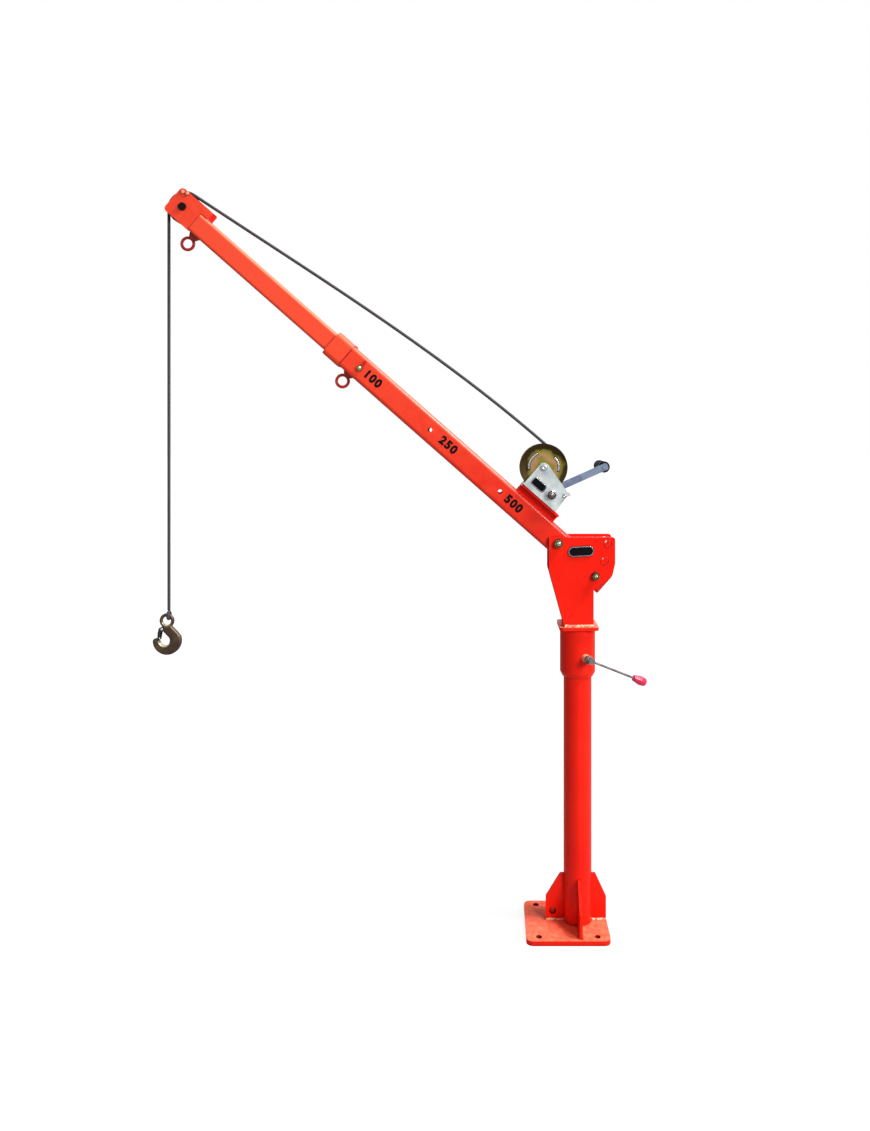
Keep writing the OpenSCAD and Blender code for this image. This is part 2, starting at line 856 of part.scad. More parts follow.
// The rings of the swept rope, one ring of rope_sides points at each step.
function run_ring(i) =
    let (
        t = i / run_steps,
        ahead = unit(run_point(min(t + 0.01, 1)) - run_point(max(t - 0.01, 0))),
        up = [-ahead.y, ahead.x],
        at = run_point(t)
    )
    [for (k = [0:rope_sides - 1])
        let (a = k * 360 / rope_sides)
        [at.x + up.x * rope_r * cos(a), rope_r * sin(a), at.y + up.y * rope_r * cos(a)]];

module rope_run() {
    rings = [for (i = [0:run_steps]) each run_ring(i)];
    sides = [
        for (i = [0:run_steps - 1], k = [0:rope_sides - 1])
            let (a = i * rope_sides, n = (k + 1) % rope_sides)
            [a + k, a + n, a + rope_sides + n, a + rope_sides + k]
    ];
    ends = [
        [for (k = [rope_sides - 1:-1:0]) k],
        [for (k = [0:rope_sides - 1]) run_steps * rope_sides + k]
    ];
    color("dimgray")
        on_boom()
            polyhedron(rings, concat(sides, ends));
}

module rope_over_sheave() {
    color("dimgray")
        on_boom()
            translate([sheave_u, 0, sheave_up])
                rotate([90, 0, 0])
                    rotate([0, 0, -luff_angle])
                        rotate_extrude(angle = 90 - run_drop + luff_angle)
                            translate([sheave_r, 0])
                                circle(r = rope_r);
}

// The rope on the drum: one full layer, and over it the turns of the next one up to the run.
module rope_on_drum() {
    start = flange_back + flange_t;
    end = flange_front - flange_t;
    pitch = rope_d + 0.3;
    lower_r = coil_r - rope_d;
    color("dimgray")
        on_boom()
            turned(drum_u, drum_v)
                union() {
                    translate([barrel_r, start])
                        square([lower_r - barrel_r, end - start]);
                    for (y = [-pitch: pitch: end - rope_r])
                        translate([lower_r, y])
                            circle(r = rope_r);
                    translate([lower_r, pitch - rope_r / 2])
                        square([rope_d, 2 * pitch + rope_r]);
                    for (i = [1:3])
                        translate([coil_r, i * pitch])
                            circle(r = rope_r);
                }
}

// Where the rope leaves the sheave, straight down.
fall_x = pivot_x - sheave_u * cos(luff_angle) + sheave_up * sin(luff_angle) - sheave_r;
fall_z = pivot_z + sheave_u * sin(luff_angle) + sheave_up * cos(luff_angle);
hook_z = fall_z - fall_len;
hook_ring_r = (hook_eye_d - hook_eye_bar_d) / 2;
rope_eye_r = hook_eye_bar_d / 2 + rope_r + 1;
rope_eye_z = hook_z + hook_ring_r - 1.1;
hook_x = fall_x - hook_aside;

module rope_fall() {
    bottom = rope_eye_z + rope_eye_r + rope_r + seat_gap;
    color("dimgray")
        translate([fall_x, 0, bottom])
            cylinder(r = rope_r, h = fall_z - bottom);
}

module rope_eye() {
    color("dimgray")
        translate([fall_x, 0, rope_eye_z])
            rotate([0, 90, 0])
                rotate_extrude()
                    translate([rope_eye_r, 0])
                        circle(r = rope_r);
}

// ---- Hook ----

// Centres of the hook's back and bowl, from the middle of its eye.
hook_back = [0.8, -hook_r - 12.3];
hook_bowl = hook_back + [-4.9, 0.6];
latch_pivot = [-8.7, -17.6];
latch_pin_d = 3;

function arc_points(centre, r, from, to, n) =
    [for (i = [0:n]) centre + polar(r, from + (to - from) * i / n)];

module hook() {
    color("saddlebrown")
        translate([hook_x, 0, hook_z]) {
            rotate([90, 0, 0])
                rotate_extrude()
                    translate([hook_ring_r, 0])
                        circle(d = hook_eye_bar_d);
            upright(-hook_t / 2, hook_t / 2) {
                polygon(concat(
                    [[-5, -12.5], [10, -12.5], [23, -24.4]],
                    arc_points(hook_back, hook_r, 20, -180, 40),
                    [[-29.4, -41], [-27, -38.6], [-22.5, -38.2], [-16.8, -41.5]],
                    arc_points(hook_bowl, hook_bowl_r, 190, 410, 36),
                    [[-7, -23.4], [-6.5, -20]]
                ));
                translate(latch_pivot)
                    circle(r = 3.4);
            }
            bar_y(latch_pivot.x, latch_pivot.y, -hook_t / 2 - 3, hook_t / 2 + 3, latch_pin_d);
        }
}

// The latch: a cheek on each side of the hook, joined by its back in front of the throat.
module hook_latch() {
    inside = hook_t / 2 + seat_gap;
    sheet = 1.5;
    color("silver")
        translate([hook_x, 0, hook_z])
            difference() {
                union() {
                    for (y0 = [-inside - sheet, inside])
                        upright(y0, y0 + sheet)
                            polygon(rounded([
                                [-5.5, -14.5, 2], [-11, -13, 2], [-15, -15, 2], [-17.6, -26, 8],
                                [-18.2, -42.5, 1], [-15.2, -42.5, 1], [-13, -29, 8], [-10.5, -22, 2],
                                [-5.5, -20.7, 2]
                            ]));
                    upright(-inside - sheet / 2, inside + sheet / 2)
                        polygon([[-17.4, -26], [-17.9, -37.5], [-16.6, -37.5], [-16.1, -26]]);
                }
                bar_y(latch_pivot.x, latch_pivot.y, -hook_t, hook_t, latch_pin_d + 2 * run_fit);
            }
}

// ---- Winch ----

function frame_outline() = [
    [52 + seat_from - 40, seat_top, 2],
    [drum_u + 10, seat_top, 2],
    [drum_u + 10, drum_v + 9, 9.5],
    [drum_u - 3, drum_v + 10.5, 6],
    [drive_u - 27, drive_v + 26, 5]
];

module winch_frame() {
    color("lightgray")
        on_boom()
            difference() {
                union() {
                    for (y0 = [-frame_out, frame_half])
                        upright(y0, y0 + frame_t)
                            polygon(rounded(frame_outline()));
                    translate([frame_outline()[0].x + 2, -frame_half - frame_t / 2, seat_top])
                        cube([drum_u + 8 - frame_outline()[0].x - 2, frame_w + frame_t,
                            frame_bottom_t]);
                }
                bar_y(drum_u, drum_v, -frame_out - cut, frame_out + cut, drum_axle_d);
                bar_y(drive_u, drive_v, -frame_out - cut, frame_out + cut, drive_d + 2 * run_fit);
                bar_y(pawl_u, pawl_v, -frame_out - cut, frame_out + cut, pawl_pin_d);
            }
}

pawl_pin_d = 6;

module drum_axle() {
    flats = drum_axle_d * 1.3;
    color("silver")
        on_boom() {
            bar_y(drum_u, drum_v, -frame_out, frame_out, drum_axle_d);
            bar_y(drum_u, drum_v, frame_out, frame_out + 4, flats);
            bar_y(drum_u, drum_v, -frame_out - 4, -frame_out, flats);
        }
}

module pawl_pin() {
    color("silver")
        on_boom() {
            bar_y(pawl_u, pawl_v, -frame_out, frame_out, pawl_pin_d);
            bar_y(pawl_u, pawl_v, frame_out, frame_out + 2, pawl_pin_d * 1.5);
            bar_y(pawl_u, pawl_v, -frame_out - 2, -frame_out, pawl_pin_d * 1.5);
        }
}

// The pawl, thrown out: its nose lies just clear of the ratchet wheel.
module ratchet_pawl() {
    to_shaft = [drive_u - pawl_u, drive_v - pawl_v];
    reach = norm(to_shaft) - ratchet_r - pawl_gap;
    color("lightslategray")
        on_boom()
            translate([pawl_u, 0, pawl_v])
                rotate([0, -atan2(to_shaft.y, to_shaft.x), 0])
                    difference() {
                        upright(ratchet_front - ratchet_t, ratchet_front)
                            polygon(rounded([
                                [reach, -3, 0.5], [reach, 1, 0.5], [4, 6, 3],
                                [-15, 5, 3], [-20, -2, 2], [-4, -6, 3]
                            ]));
                        bar_y(0, 0, -frame_out, frame_out, pawl_pin_d + 2 * run_fit);
                    }
}

// Two arcs cut through a flange of the drum.
module flange_slots(y0, y1) {
    slot_r = 32;
    slot_w = 6;
    upright(y0, y1)
        difference() {
            circle(r = slot_r + slot_w / 2);
            circle(r = slot_r - slot_w / 2);
            polygon([[0, 0], polar(80, 27), polar(80, 60), polar(80, 93)]);
            polygon([[0, 0], polar(80, 156), polar(80, 200), polar(80, 255), polar(80, 308)]);
        }
}

module drum() {
    rim_w = 11;
    rim_rise = 2.2;
    color("goldenrod")
        on_boom()
            difference() {
                turned(drum_u, drum_v)
                    polygon([
                        [drum_axle_d / 2 + run_fit, flange_back],
                        [flange_r, flange_back],
                        [flange_r, flange_back + flange_t],
                        [barrel_r, flange_back + flange_t],
                        [barrel_r, flange_front - flange_t],
                        [flange_r - rim_w, flange_front - flange_t],
                        [flange_r, flange_front - flange_t + rim_rise],
                        [flange_r, flange_front + rim_rise],
                        [flange_r - rim_w - 1, flange_front],
                        [drum_axle_d / 2 + run_fit, flange_front]
                    ]);
                translate([drum_u, 0, drum_v])
                    flange_slots(flange_front - flange_t - cut, flange_front + cut);
            }
}

module drum_gear() {
    color("silver")
        on_boom()
            translate([drum_u, 0, drum_v])
                difference() {
                    union() {
                        upright(gear_back, gear_back + gear_w)
                            rotate([0, 0, 180 + drive_angle])
                                polygon(gear_outline(gear_teeth));
                        upright(gear_back, flange_back)
                            circle(r = barrel_r);
                    }
                    bar_y(0, 0, gear_back - cut, flange_back + cut, drum_axle_d + 2 * run_fit);
                }
}

module drive_shaft() {
    color("silver")
        on_boom() {
            bar_y(drive_u, drive_v, -crank_in - crank_t, frame_out + washer_t, drive_d);
            bar_y(drive_u, drive_v, frame_out + seat_gap, frame_out + washer_t, drive_d * 1.6);
            hex_y(drive_u, drive_v, frame_out + washer_t, frame_out + washer_t + 7, drive_d);
            bar_y(drive_u, drive_v, -crank_in, -frame_out - seat_gap, drive_d + 6);
            hex_y(drive_u, drive_v, -crank_in - crank_t - 6, -crank_in - crank_t, drive_d);
        }
}

module drive_pinion() {
    color("silver")
        on_boom()
            translate([drive_u, 0, drive_v])
                difference() {
                    upright(gear_back - 0.5, gear_back + gear_w + 0.5)
                        rotate([0, 0, drive_angle + 180 / pinion_teeth])
                            polygon(gear_outline(pinion_teeth));
                    bar_y(0, 0, gear_back - 2, gear_back + gear_w + 2, drive_d);
                }
}

module ratchet_wheel() {
    step = 360 / ratchet_teeth;
    color("lightslategray")
        on_boom()
            translate([drive_u, 0, drive_v])
                difference() {
                    upright(ratchet_front - ratchet_t, ratchet_front)
                        polygon([
                            for (i = [0:ratchet_teeth - 1])
                                each [polar(ratchet_r, i * step), polar(ratchet_r - 4, i * step)]
                        ]);
                    bar_y(0, 0, -frame_half, ratchet_front + cut, drive_d);
                }
}

crank_end = [drive_u, drive_v] + polar(crank_len, crank_angle);

module crank_arm() {
    color("lightslategray")
        on_boom()
            difference() {
                upright(-crank_in - crank_t, -crank_in)
                    translate([drive_u, drive_v])
                        rotate([0, 0, crank_angle])
                            polygon(rounded([
                                [-crank_w / 2 - 2, -crank_w / 2, 6],
                                [crank_len + crank_w / 2, -crank_w / 2, 6],
                                [crank_len + crank_w / 2, crank_w / 2, 6],
                                [-crank_w / 2 - 2, crank_w / 2, 6]
                            ]));
                bar_y(drive_u, drive_v, -crank_in - crank_t - cut, -crank_in + cut, drive_d);
                bar_y(crank_end.x, crank_end.y, -crank_in - crank_t - cut, -crank_in + cut,
                    crank_pin_d);
            }
}

crank_pin_d = 8;
grip_from = -crank_in - crank_t - seat_gap;

module crank_pin() {
    color("silver")
        on_boom() {
            bar_y(crank_end.x, crank_end.y, grip_from - grip_len - 3, -crank_in, crank_pin_d);
            bar_y(crank_end.x, crank_end.y, -crank_in, -crank_in + 2, crank_pin_d * 1.2);
            bar_y(crank_end.x, crank_end.y, grip_from - grip_len - 3, grip_from - grip_len - seat_gap,
                crank_pin_d * 1.6);
        }
}

module crank_grip() {
    bore_r = crank_pin_d / 2 + run_fit;
    color("black")
        on_boom()
            turned(crank_end.x, crank_end.y)
                polygon(rounded([
                    [bore_r, grip_from - grip_len, 0],
                    [grip_d / 2, grip_from - grip_len, 6],
                    [grip_d / 2, grip_from - grip_len * 0.6, 12],
                    [grip_d / 2 - 2, grip_from - grip_len * 0.3, 12],
                    [grip_d / 2, grip_from, 3],
                    [bore_r, grip_from, 0]
                ]));
}

base_plate();
gusset_left();
gusset_right();
gusset_front();
gusset_back();
post();
slew_sleeve();
head_base_plate();
head_plate_front();
head_plate_back();
clamp_boss();
pivot_bolt();
lock_bolt();
lock_nut();
clamp_screw();
clamp_lever();
lever_knob();
outer_tube();
tube_collar();
lower_eye();
winch_seat();
extension_pin();
extension_nut();
winch_frame();
drum_axle();
pawl_pin();
ratchet_pawl();
drum();
drum_gear();
rope_on_drum();
drive_shaft();
drive_pinion();
ratchet_wheel();
crank_arm();
crank_pin();
crank_grip();
inner_tube();
tip_cheek_front();
tip_cheek_back();
tip_tie_plate();
sheave_axle();
upper_eye();
sheave();
rope_run();
rope_over_sheave();
rope_fall();
rope_eye();
hook();
hook_latch();
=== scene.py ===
"""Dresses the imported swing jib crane: camera, light, materials, rope, hook, welds, badges and numbers."""
import json
import math

import bmesh
import bpy
from mathutils import Matrix, Vector


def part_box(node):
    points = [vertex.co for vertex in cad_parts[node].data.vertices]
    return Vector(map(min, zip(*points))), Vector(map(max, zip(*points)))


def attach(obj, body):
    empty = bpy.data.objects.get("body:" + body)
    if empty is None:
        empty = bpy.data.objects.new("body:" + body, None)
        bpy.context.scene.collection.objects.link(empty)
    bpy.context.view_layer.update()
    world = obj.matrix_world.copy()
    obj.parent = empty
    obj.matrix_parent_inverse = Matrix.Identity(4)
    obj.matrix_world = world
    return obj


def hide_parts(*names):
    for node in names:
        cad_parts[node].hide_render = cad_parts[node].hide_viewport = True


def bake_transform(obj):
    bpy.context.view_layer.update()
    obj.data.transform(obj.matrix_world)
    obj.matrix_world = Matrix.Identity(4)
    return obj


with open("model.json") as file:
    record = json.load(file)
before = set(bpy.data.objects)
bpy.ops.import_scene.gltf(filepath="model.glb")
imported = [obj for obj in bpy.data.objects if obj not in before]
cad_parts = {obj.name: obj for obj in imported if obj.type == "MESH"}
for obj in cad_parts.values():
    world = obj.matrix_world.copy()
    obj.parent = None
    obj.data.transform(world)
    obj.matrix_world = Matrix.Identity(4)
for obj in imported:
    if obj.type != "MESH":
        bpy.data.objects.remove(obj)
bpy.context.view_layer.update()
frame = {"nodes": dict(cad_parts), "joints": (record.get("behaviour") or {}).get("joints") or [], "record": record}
NODES = frame["nodes"]
JOINTS = {joint["name"]: joint for joint in frame["joints"]}
MM = 0.001
X_AXIS, Y_AXIS, Z_AXIS = Vector((1, 0, 0)), Vector((0, 1, 0)), Vector((0, 0, 1))

# ---- Camera ----
camera_data = bpy.data.cameras.new("camera")
camera = bpy.data.objects.new("camera", camera_data)
bpy.context.scene.collection.objects.link(camera)
camera.location = (-0.190, -1.861, 1.060)
camera.rotation_euler = (math.radians(90), 0, 0)
camera_data.sensor_width = 36
camera_data.lens = 27.279
camera_data.shift_x = -0.04863
camera_data.shift_y = -0.11538
camera_data.clip_end = 100
bpy.context.scene.camera = camera

# ---- Sizes of the part that the frame doesn't give: millimetres, degrees, turns and shares ----
# Base: bolt holes from the plate's centre, and the left gusset's hole from the post and the plate.
BOLT_HOLE_OUT = 61.5
GUSSET_HOLE_OUT, GUSSET_HOLE_UP = 24, 19
# Head: half the neck's width, and the lock holes round the pivot, by their angles below the level.
NECK_HALF = 31
LOCK_RADIUS = 105.5
LOCK_ANGLES = (0, 20.7, 41.4)
# Boom: half sides of its tubes, places along it from the pivot, and the cheeks' outer faces.
OUTER_HALF, INNER_HALF = 26.3, 22
COLLAR_BACK, PIN_U = 606, 566
LAP_END, TUBE_END = 1026, 1041
LOWER_EYE_U, UPPER_EYE_U = 580, 1029
CHEEK_OUT = 18.5
# Winch: the outer face of its frame, and the slots and the dished rim of the drum's front flange.
FRAME_OUT = 34
FLANGE_R = 51
SLOT_R, FLANGE_DISH = 32, 2.2
# Rope: radii of its middle on the sheave and on the drum, and the step down to the lower layer.
SHEAVE_R, COIL_R, LAYER_DROP = 35.3, 40.3, 6.2
# Angle past the sheave's top at which it arrives, and its bow and the bow's lean towards the drum.
RUN_DROP = 7.85
RUN_BOW, RUN_LEAN = 0.0717, 0.52
# Its turns on the drum: their distance, and how many lie in the upper and in the lower layer.
COIL_PITCH = 6.3
TOP_TURNS, LOW_TURNS = 3, 5
# Hook: its eye, which lies to the right of the latch's pin by EYE_ASIDE.
EYE_R, EYE_BAR_R = 12.45, 3.8
EYE_ASIDE = 8.7
# Its bowl and back, from the middle of the eye: x to the right and z up.
BOWL_AT, BOWL_R = (-4.1, -42.5), 11.2
BACK_AT, BACK_R = (0.8, -43.1), 30.8
HOOK_T = 13

# ---- The boom's own frame: u along the boom, y to the front, v square to both ----
PIVOT = Vector(JOINTS["boom_luff"]["pos_m"])
ALONG = Vector(JOINTS["boom_extend"]["axis"]).normalized()
FRONT = Vector((0, -1, 0))
UP = ALONG.cross(FRONT)
BOOM = Matrix.Translation(PIVOT) @ Matrix((ALONG, FRONT, UP)).transposed().to_4x4()
# Own x against the boom, own y up and own z to the front, as the numbers are read.
AGAINST = Matrix((-ALONG, UP, FRONT)).transposed().to_4x4()
# Own x along the row's X, own y up and own z to the front.
UPRIGHT = Matrix(((1, 0, 0), (0, 0, -1), (0, 1, 0))).to_4x4()


# ---- Places ----
def in_boom(world):
    """A point of the row frame as (u, y, v) of the boom."""
    return BOOM.inverted() @ Vector(world)


def boom_point(u, y, v):
    """The point of the row frame at (u, y, v) of the boom, in millimetres."""
    return BOOM @ Vector((u * MM, y * MM, v * MM))


def centre_of(node):
    low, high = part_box(node)
    return (Vector(low) + Vector(high)) / 2


def joint_at(name):
    return Vector(JOINTS[name]["pos_m"])


def front_face(node, at):
    """The point of a node's front face that lies straight before or behind another point."""
    return Vector((at.x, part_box(node)[0][1], at.z))


def lock_hole(angle, y=0.0):
    """The centre of the head's lock hole at an angle below the level."""
    below = math.radians(angle)
    radius = LOCK_RADIUS * MM
    return Vector((PIVOT.x + radius * math.cos(below), y, PIVOT.z - radius * math.sin(below)))


def facing(at, side=1):
    """A place whose own z points to the front (side 1) or to the back (side -1)."""
    return Matrix.Translation(at) @ Matrix.Rotation(math.radians(90 * side), 4, "X")


HEAD_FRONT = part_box("head_plate_front")[0][1]
HEAD_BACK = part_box("head_plate_back")[1][1]
EYE_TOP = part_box("hook")[1][2]
HOOK_EYE = Vector((joint_at("latch_swing").x + EYE_ASIDE * MM, 0, EYE_TOP - (EYE_R + EYE_BAR_R) * MM))


# ---- Node trees ----
class Tree:
    """A node tree, with short calls to add and join its nodes."""

    def __init__(self, tree):
        self.nodes = tree.nodes
        self.links = tree.links

    def add(self, kind, **values):
        """A new node; each value goes to its input of that name, or else to its setting of that name."""
        node = self.nodes.new("ShaderNode" + kind)
        for key, value in values.items():
            if key in node.inputs:
                node.inputs[key].default_value = value
            else:
                setattr(node, key, value)
        return node

    def join(self, source, target, name):
        self.links.new(source, target.inputs[name])

    def maths(self, operation, *values):
        """The result of a Math node on numbers and other nodes' outputs."""
        node = self.add("Math", operation=operation)
        for place, value in enumerate(values):
            if isinstance(value, (int, float)):
                node.inputs[place].default_value = value
            else:
                self.join(value, node, place)
        return node.outputs[0]

    def vectors(self, operation, first, second=None):
        """The outputs of a VectorMath node on a node's output and, where it takes two, a fixed vector."""
        node = self.add("VectorMath", operation=operation)
        self.join(first, node, 0)
        if second is not None:
            node.inputs[1].default_value = second
        return node.outputs

    def mapped(self, value, from_min, from_max, to_min, to_max):
        """The value carried from one span to another, kept inside it."""
        node = self.add("MapRange")
        spans = (("From Min", from_min), ("From Max", from_max), ("To Min", to_min), ("To Max", to_max))
        for key, at in spans:
            node.inputs[key].default_value = at
        self.join(value, node, "Value")
        return node.outputs["Result"]

    def mixed(self, factor, under, over):
        """A node's colour with a fixed colour laid over it, by a factor."""
        node = self.add("Mix", data_type="RGBA")
        self.join(factor, node, 0)
        self.join(under, node, 6)
        node.inputs[7].default_value = (*over, 1)
        return node.outputs[2]


class Shader(Tree):
    """A material with the Principled shader."""

    def __init__(self, name):
        self.material = bpy.data.materials.new(name)
        self.material.use_nodes = True
        super().__init__(self.material.node_tree)
        self.bsdf = self.nodes["Principled BSDF"]

    def set(self, **values):
        """Sets the shader's own sockets; an underscore stands for a space in their names."""
        for key, value in values.items():
            self.bsdf.inputs[key.replace("_", " ")].default_value = value

    def offset(self, centre):
        """How far the surface lies from a centre, both in the object's own coordinates."""
        return self.vectors("SUBTRACT", self.add("TexCoord").outputs["Object"], centre)["Vector"]

    def noise(self, scale, detail):
        """A cloud in the object's own coordinates."""
        noise = self.add("TexNoise", Scale=scale, Detail=detail)
        self.join(self.add("TexCoord").outputs["Object"], noise, "Vector")
        return noise.outputs["Fac"]

    def ramp(self, factor, stops):
        """The colours of (position, colour) stops over a factor, as the base colour."""
        ramp = self.add("ValToRGB")
        elements = ramp.color_ramp.elements
        while len(elements) < len(stops):
            elements.new(0.5)
        for element, (at, colour) in zip(elements, stops):
            element.position = at
            element.color = (*colour, 1)
        self.join(factor, ramp, "Fac")
        self.join(ramp.outputs["Color"], self.bsdf, "Base Color")
        return ramp.outputs["Color"]

    def spread(self, factor, low, high):
        """Drives the roughness between two values."""
        self.join(self.mapped(factor, 0.3, 0.7, low, high), self.bsdf, "Roughness")

    def bump(self, factor, strength, distance=0.3 * MM):
        bump = self.add("Bump", Strength=strength, Distance=distance)
        self.join(factor, bump, "Height")
        self.join(bump.outputs["Normal"], self.bsdf, "Normal")


# ---- Kinds of material ----
def iridescent(name, node, axis_at, reach, stops, roughness):
    """Plating whose tint changes from the axis outwards, broken up by a cloud."""
    shader = Shader(name)
    centre = NODES[node].matrix_world.inverted() @ axis_at
    away = shader.vectors("LENGTH", shader.offset(centre))["Value"]
    cloud = shader.noise(24, 2)
    swayed = shader.maths("MULTIPLY_ADD", cloud, 0.8, shader.maths("DIVIDE", away, reach))
    shader.ramp(shader.maths("SUBTRACT", swayed, 0.40), stops)
    shader.spread(cloud, roughness - 0.04, roughness + 0.08)
    shader.bump(shader.noise(300, 2), 0.08)
    shader.set(Metallic=0.85)
    return shader.material


def paint_edge_highlight(shader, colour, along, up, strength):
    """Paints a highlight, for the light from above, on the boom's rounded upper corners, from the end of the
    winch's seat on.
    """
    fade_from, fade_to = 139 * MM, 150 * MM
    lift = shader.vectors("DOT_PRODUCT", shader.add("TexCoord").outputs["Normal"], up)["Value"]
    rounding = shader.mapped(lift, 0.05, 0.5, 0, strength)
    flat_top = shader.mapped(lift, 0.80, 0.98, 1, 0.05)
    past_seat = shader.mapped(along, fade_from, fade_to, 0, 1)
    factor = shader.maths("MULTIPLY", shader.maths("MULTIPLY", rounding, flat_top), past_seat)
    # Painted highlight: a light orange laid over the paint, strongest on the rounded corners and faded out on the
    # flat top.
    return shader.mixed(factor, colour, (0.90, 0.24, 0.13))


def paint(name, dark, light, roughness=0.3, joints=0.32, shine=0.25, grain=9, boom_node=None, corner_highlight=0.0):
    """Glossy paint, a little cloudy, with painted shade: darker in the joints between pieces, by an ambient
    occlusion node.
    On a piece of the boom it is deeper near the pivot and carries a painted highlight along the upper corners."""
    shader = Shader(name)
    factor = shader.noise(grain, 4)
    if boom_node:
        inverse = NODES[boom_node].matrix_world.inverted()
        turn = inverse.to_3x3()
        along = shader.vectors("DOT_PRODUCT", shader.offset(inverse @ PIVOT), turn @ ALONG)["Value"]
        factor = shader.mapped(shader.maths("MULTIPLY_ADD", along, 1.6, factor), 0.55, 1.25, 0.3, 0.7)
    colour = shader.ramp(factor, [(0.3, dark), (0.7, light)])
    if boom_node:
        colour = paint_edge_highlight(shader, colour, along, turn @ UP, corner_highlight)
    # Painted shade: an ambient occlusion node darkens the colour in the joints between pieces, down to the share
    # given by joints.
    occlusion = shader.add("AmbientOcclusion", Distance=9 * MM, samples=8)
    shade = shader.add("VectorMath", operation="SCALE")
    shader.join(colour, shade, 0)
    shader.join(shader.mapped(occlusion.outputs["AO"], 0.25, 0.85, joints, 1), shade, "Scale")
    shader.join(shade.outputs["Vector"], shader.bsdf, "Base Color")
    shader.spread(shader.noise(grain, 4), roughness - 0.04, roughness + 0.05)
    shader.bump(shader.noise(650, 2), 0.12, 0.4 * MM)
    shader.set(Coat_Weight=shine * 0.3, Coat_Roughness=0.15, Specular_IOR_Level=shine)
    return shader.material


def hook_paint(*highlit_rounds):
    """Dark browned steel, with a painted highlight low inside each round of a centre and a radius."""
    shader = Shader("hook_steel")
    grain = shader.noise(45, 3)
    colour = shader.ramp(
        grain, [(0.25, (0.040, 0.022, 0.016)), (0.5, (0.085, 0.048, 0.034)), (0.75, (0.13, 0.105, 0.045))]
    )
    for centre, radius in highlit_rounds:
        away = shader.offset(centre)
        flat = shader.vectors("MULTIPLY", away, (1, 0, 1))["Vector"]
        distance = shader.vectors("LENGTH", flat)["Value"]
        parts = shader.add("SeparateXYZ")
        shader.join(away, parts, 0)
        inside = shader.mapped(distance, radius + 0.8 * MM, radius + 3.4 * MM, 1, 0)
        low = shader.mapped(parts.outputs["Z"], -0.2 * radius, -0.7 * radius, 0.1, 0.9)
        # Painted highlight: pale gold on the lower inside of each round, where the light from above falls.
        colour = shader.mixed(shader.maths("MULTIPLY", inside, low), colour, (0.72, 0.70, 0.46))
    shader.join(colour, shader.bsdf, "Base Color")
    shader.spread(grain, 0.28, 0.42)
    shader.bump(shader.noise(500, 2), 0.1)
    shader.set(Metallic=0.5)
    return shader.material


def metal(name, stops, roughness, scale, detail=4, metallic=1.0, bump=0.1, shine=0.5):
    """Metal or plating whose colour and gloss follow one grain."""
    shader = Shader(name)
    grain = shader.noise(scale, detail)
    shader.ramp(grain, stops)
    shader.spread(grain, roughness - 0.05, roughness + 0.07)
    shader.bump(shader.noise(scale * 12, 2), bump)
    shader.set(Metallic=metallic, Specular_IOR_Level=shine)
    return shader.material


def plain(name, colour, roughness, coat=0.0, shine=0.5):
    """One colour, a little cloudy: plastic, rubber, ink or bare primer."""
    shader = Shader(name)
    cloud = shader.noise(30, 3)
    shader.ramp(cloud, [(0.3, [c * 0.9 for c in colour]), (0.7, [min(1, c * 1.08) for c in colour])])
    shader.spread(cloud, roughness - 0.04, roughness + 0.04)
    shader.bump(shader.noise(300, 2), 0.05)
    shader.set(Coat_Weight=coat, Specular_IOR_Level=shine)
    return shader.material


# ---- Paints ----
RED = paint("red_paint", (0.84, 0.010, 0.003), (0.91, 0.016, 0.005), shine=0.12)
# Painted sheen: the boom's reds, here and on the cheeks below, carry more green and blue than RED, for the white
# reflection on the boom's faces.
OUTER_RED, COLLAR_RED, INNER_RED = (
    paint("red_paint_" + node, (0.74, 0.020, 0.008), light, grain=40, boom_node=node, corner_highlight=corner_highlight)
    for node, light, corner_highlight in (
        ("outer_tube", (0.87, 0.050, 0.018), 0.38),
        ("tube_collar", (0.93, 0.070, 0.026), 0.38),
        ("inner_tube", (0.94, 0.074, 0.029), 0.8),
    )
)
BOOM_RED = paint("red_paint_boom", (0.90, 0.045, 0.016), (0.95, 0.070, 0.026), grain=60)
# Painted sheen: the plates' tops are lighter and pinker than RED, for the white reflection on them at a grazing
# view.
PLATE_SHEEN_RED = paint("red_paint_plate_sheen", (0.86, 0.085, 0.040), (0.94, 0.190, 0.105), grain=90, shine=0.08)
# Painted shade: a dark red for the walls of holes and the rings round the lock holes.
HOLE_SHADE = plain("painted_shade_in_holes", (0.26, 0.010, 0.006), 0.5, shine=0.2)
# A dark red for the parts painted so, and for painted shade in beads, washers and the left gusset's hole.
DARK_RED_AND_SHADE = paint("dark_red_paint", (0.36, 0.012, 0.006), (0.50, 0.020, 0.010))

# ---- Metals, rope, plastics and ink ----
ZINC = metal("zinc_plate", [(0.3, (0.50, 0.58, 0.60)), (0.7, (0.72, 0.77, 0.76))], 0.36, 45, metallic=0.7)
STEEL = metal("bright_steel", [(0.3, (0.40, 0.43, 0.47)), (0.7, (0.58, 0.61, 0.65))], 0.28, 80)
BLUE_STEEL = metal(
    "blue_grey_steel", [(0.3, (0.13, 0.18, 0.27)), (0.7, (0.21, 0.27, 0.38))], 0.40, 50, metallic=0.5
)
CHROMATE = iridescent(
    "gold_chromate", "drum", joint_at("drum_spin"), FLANGE_R * MM,
    [
        (0.30, (0.58, 0.25, 0.13)), (0.46, (0.50, 0.32, 0.08)), (0.58, (0.30, 0.28, 0.045)),
        (0.72, (0.60, 0.32, 0.17)), (0.84, (0.38, 0.30, 0.06)), (0.94, (0.19, 0.17, 0.03)),
        (1.0, (0.05, 0.03, 0.008)),
    ],
    0.26,
)
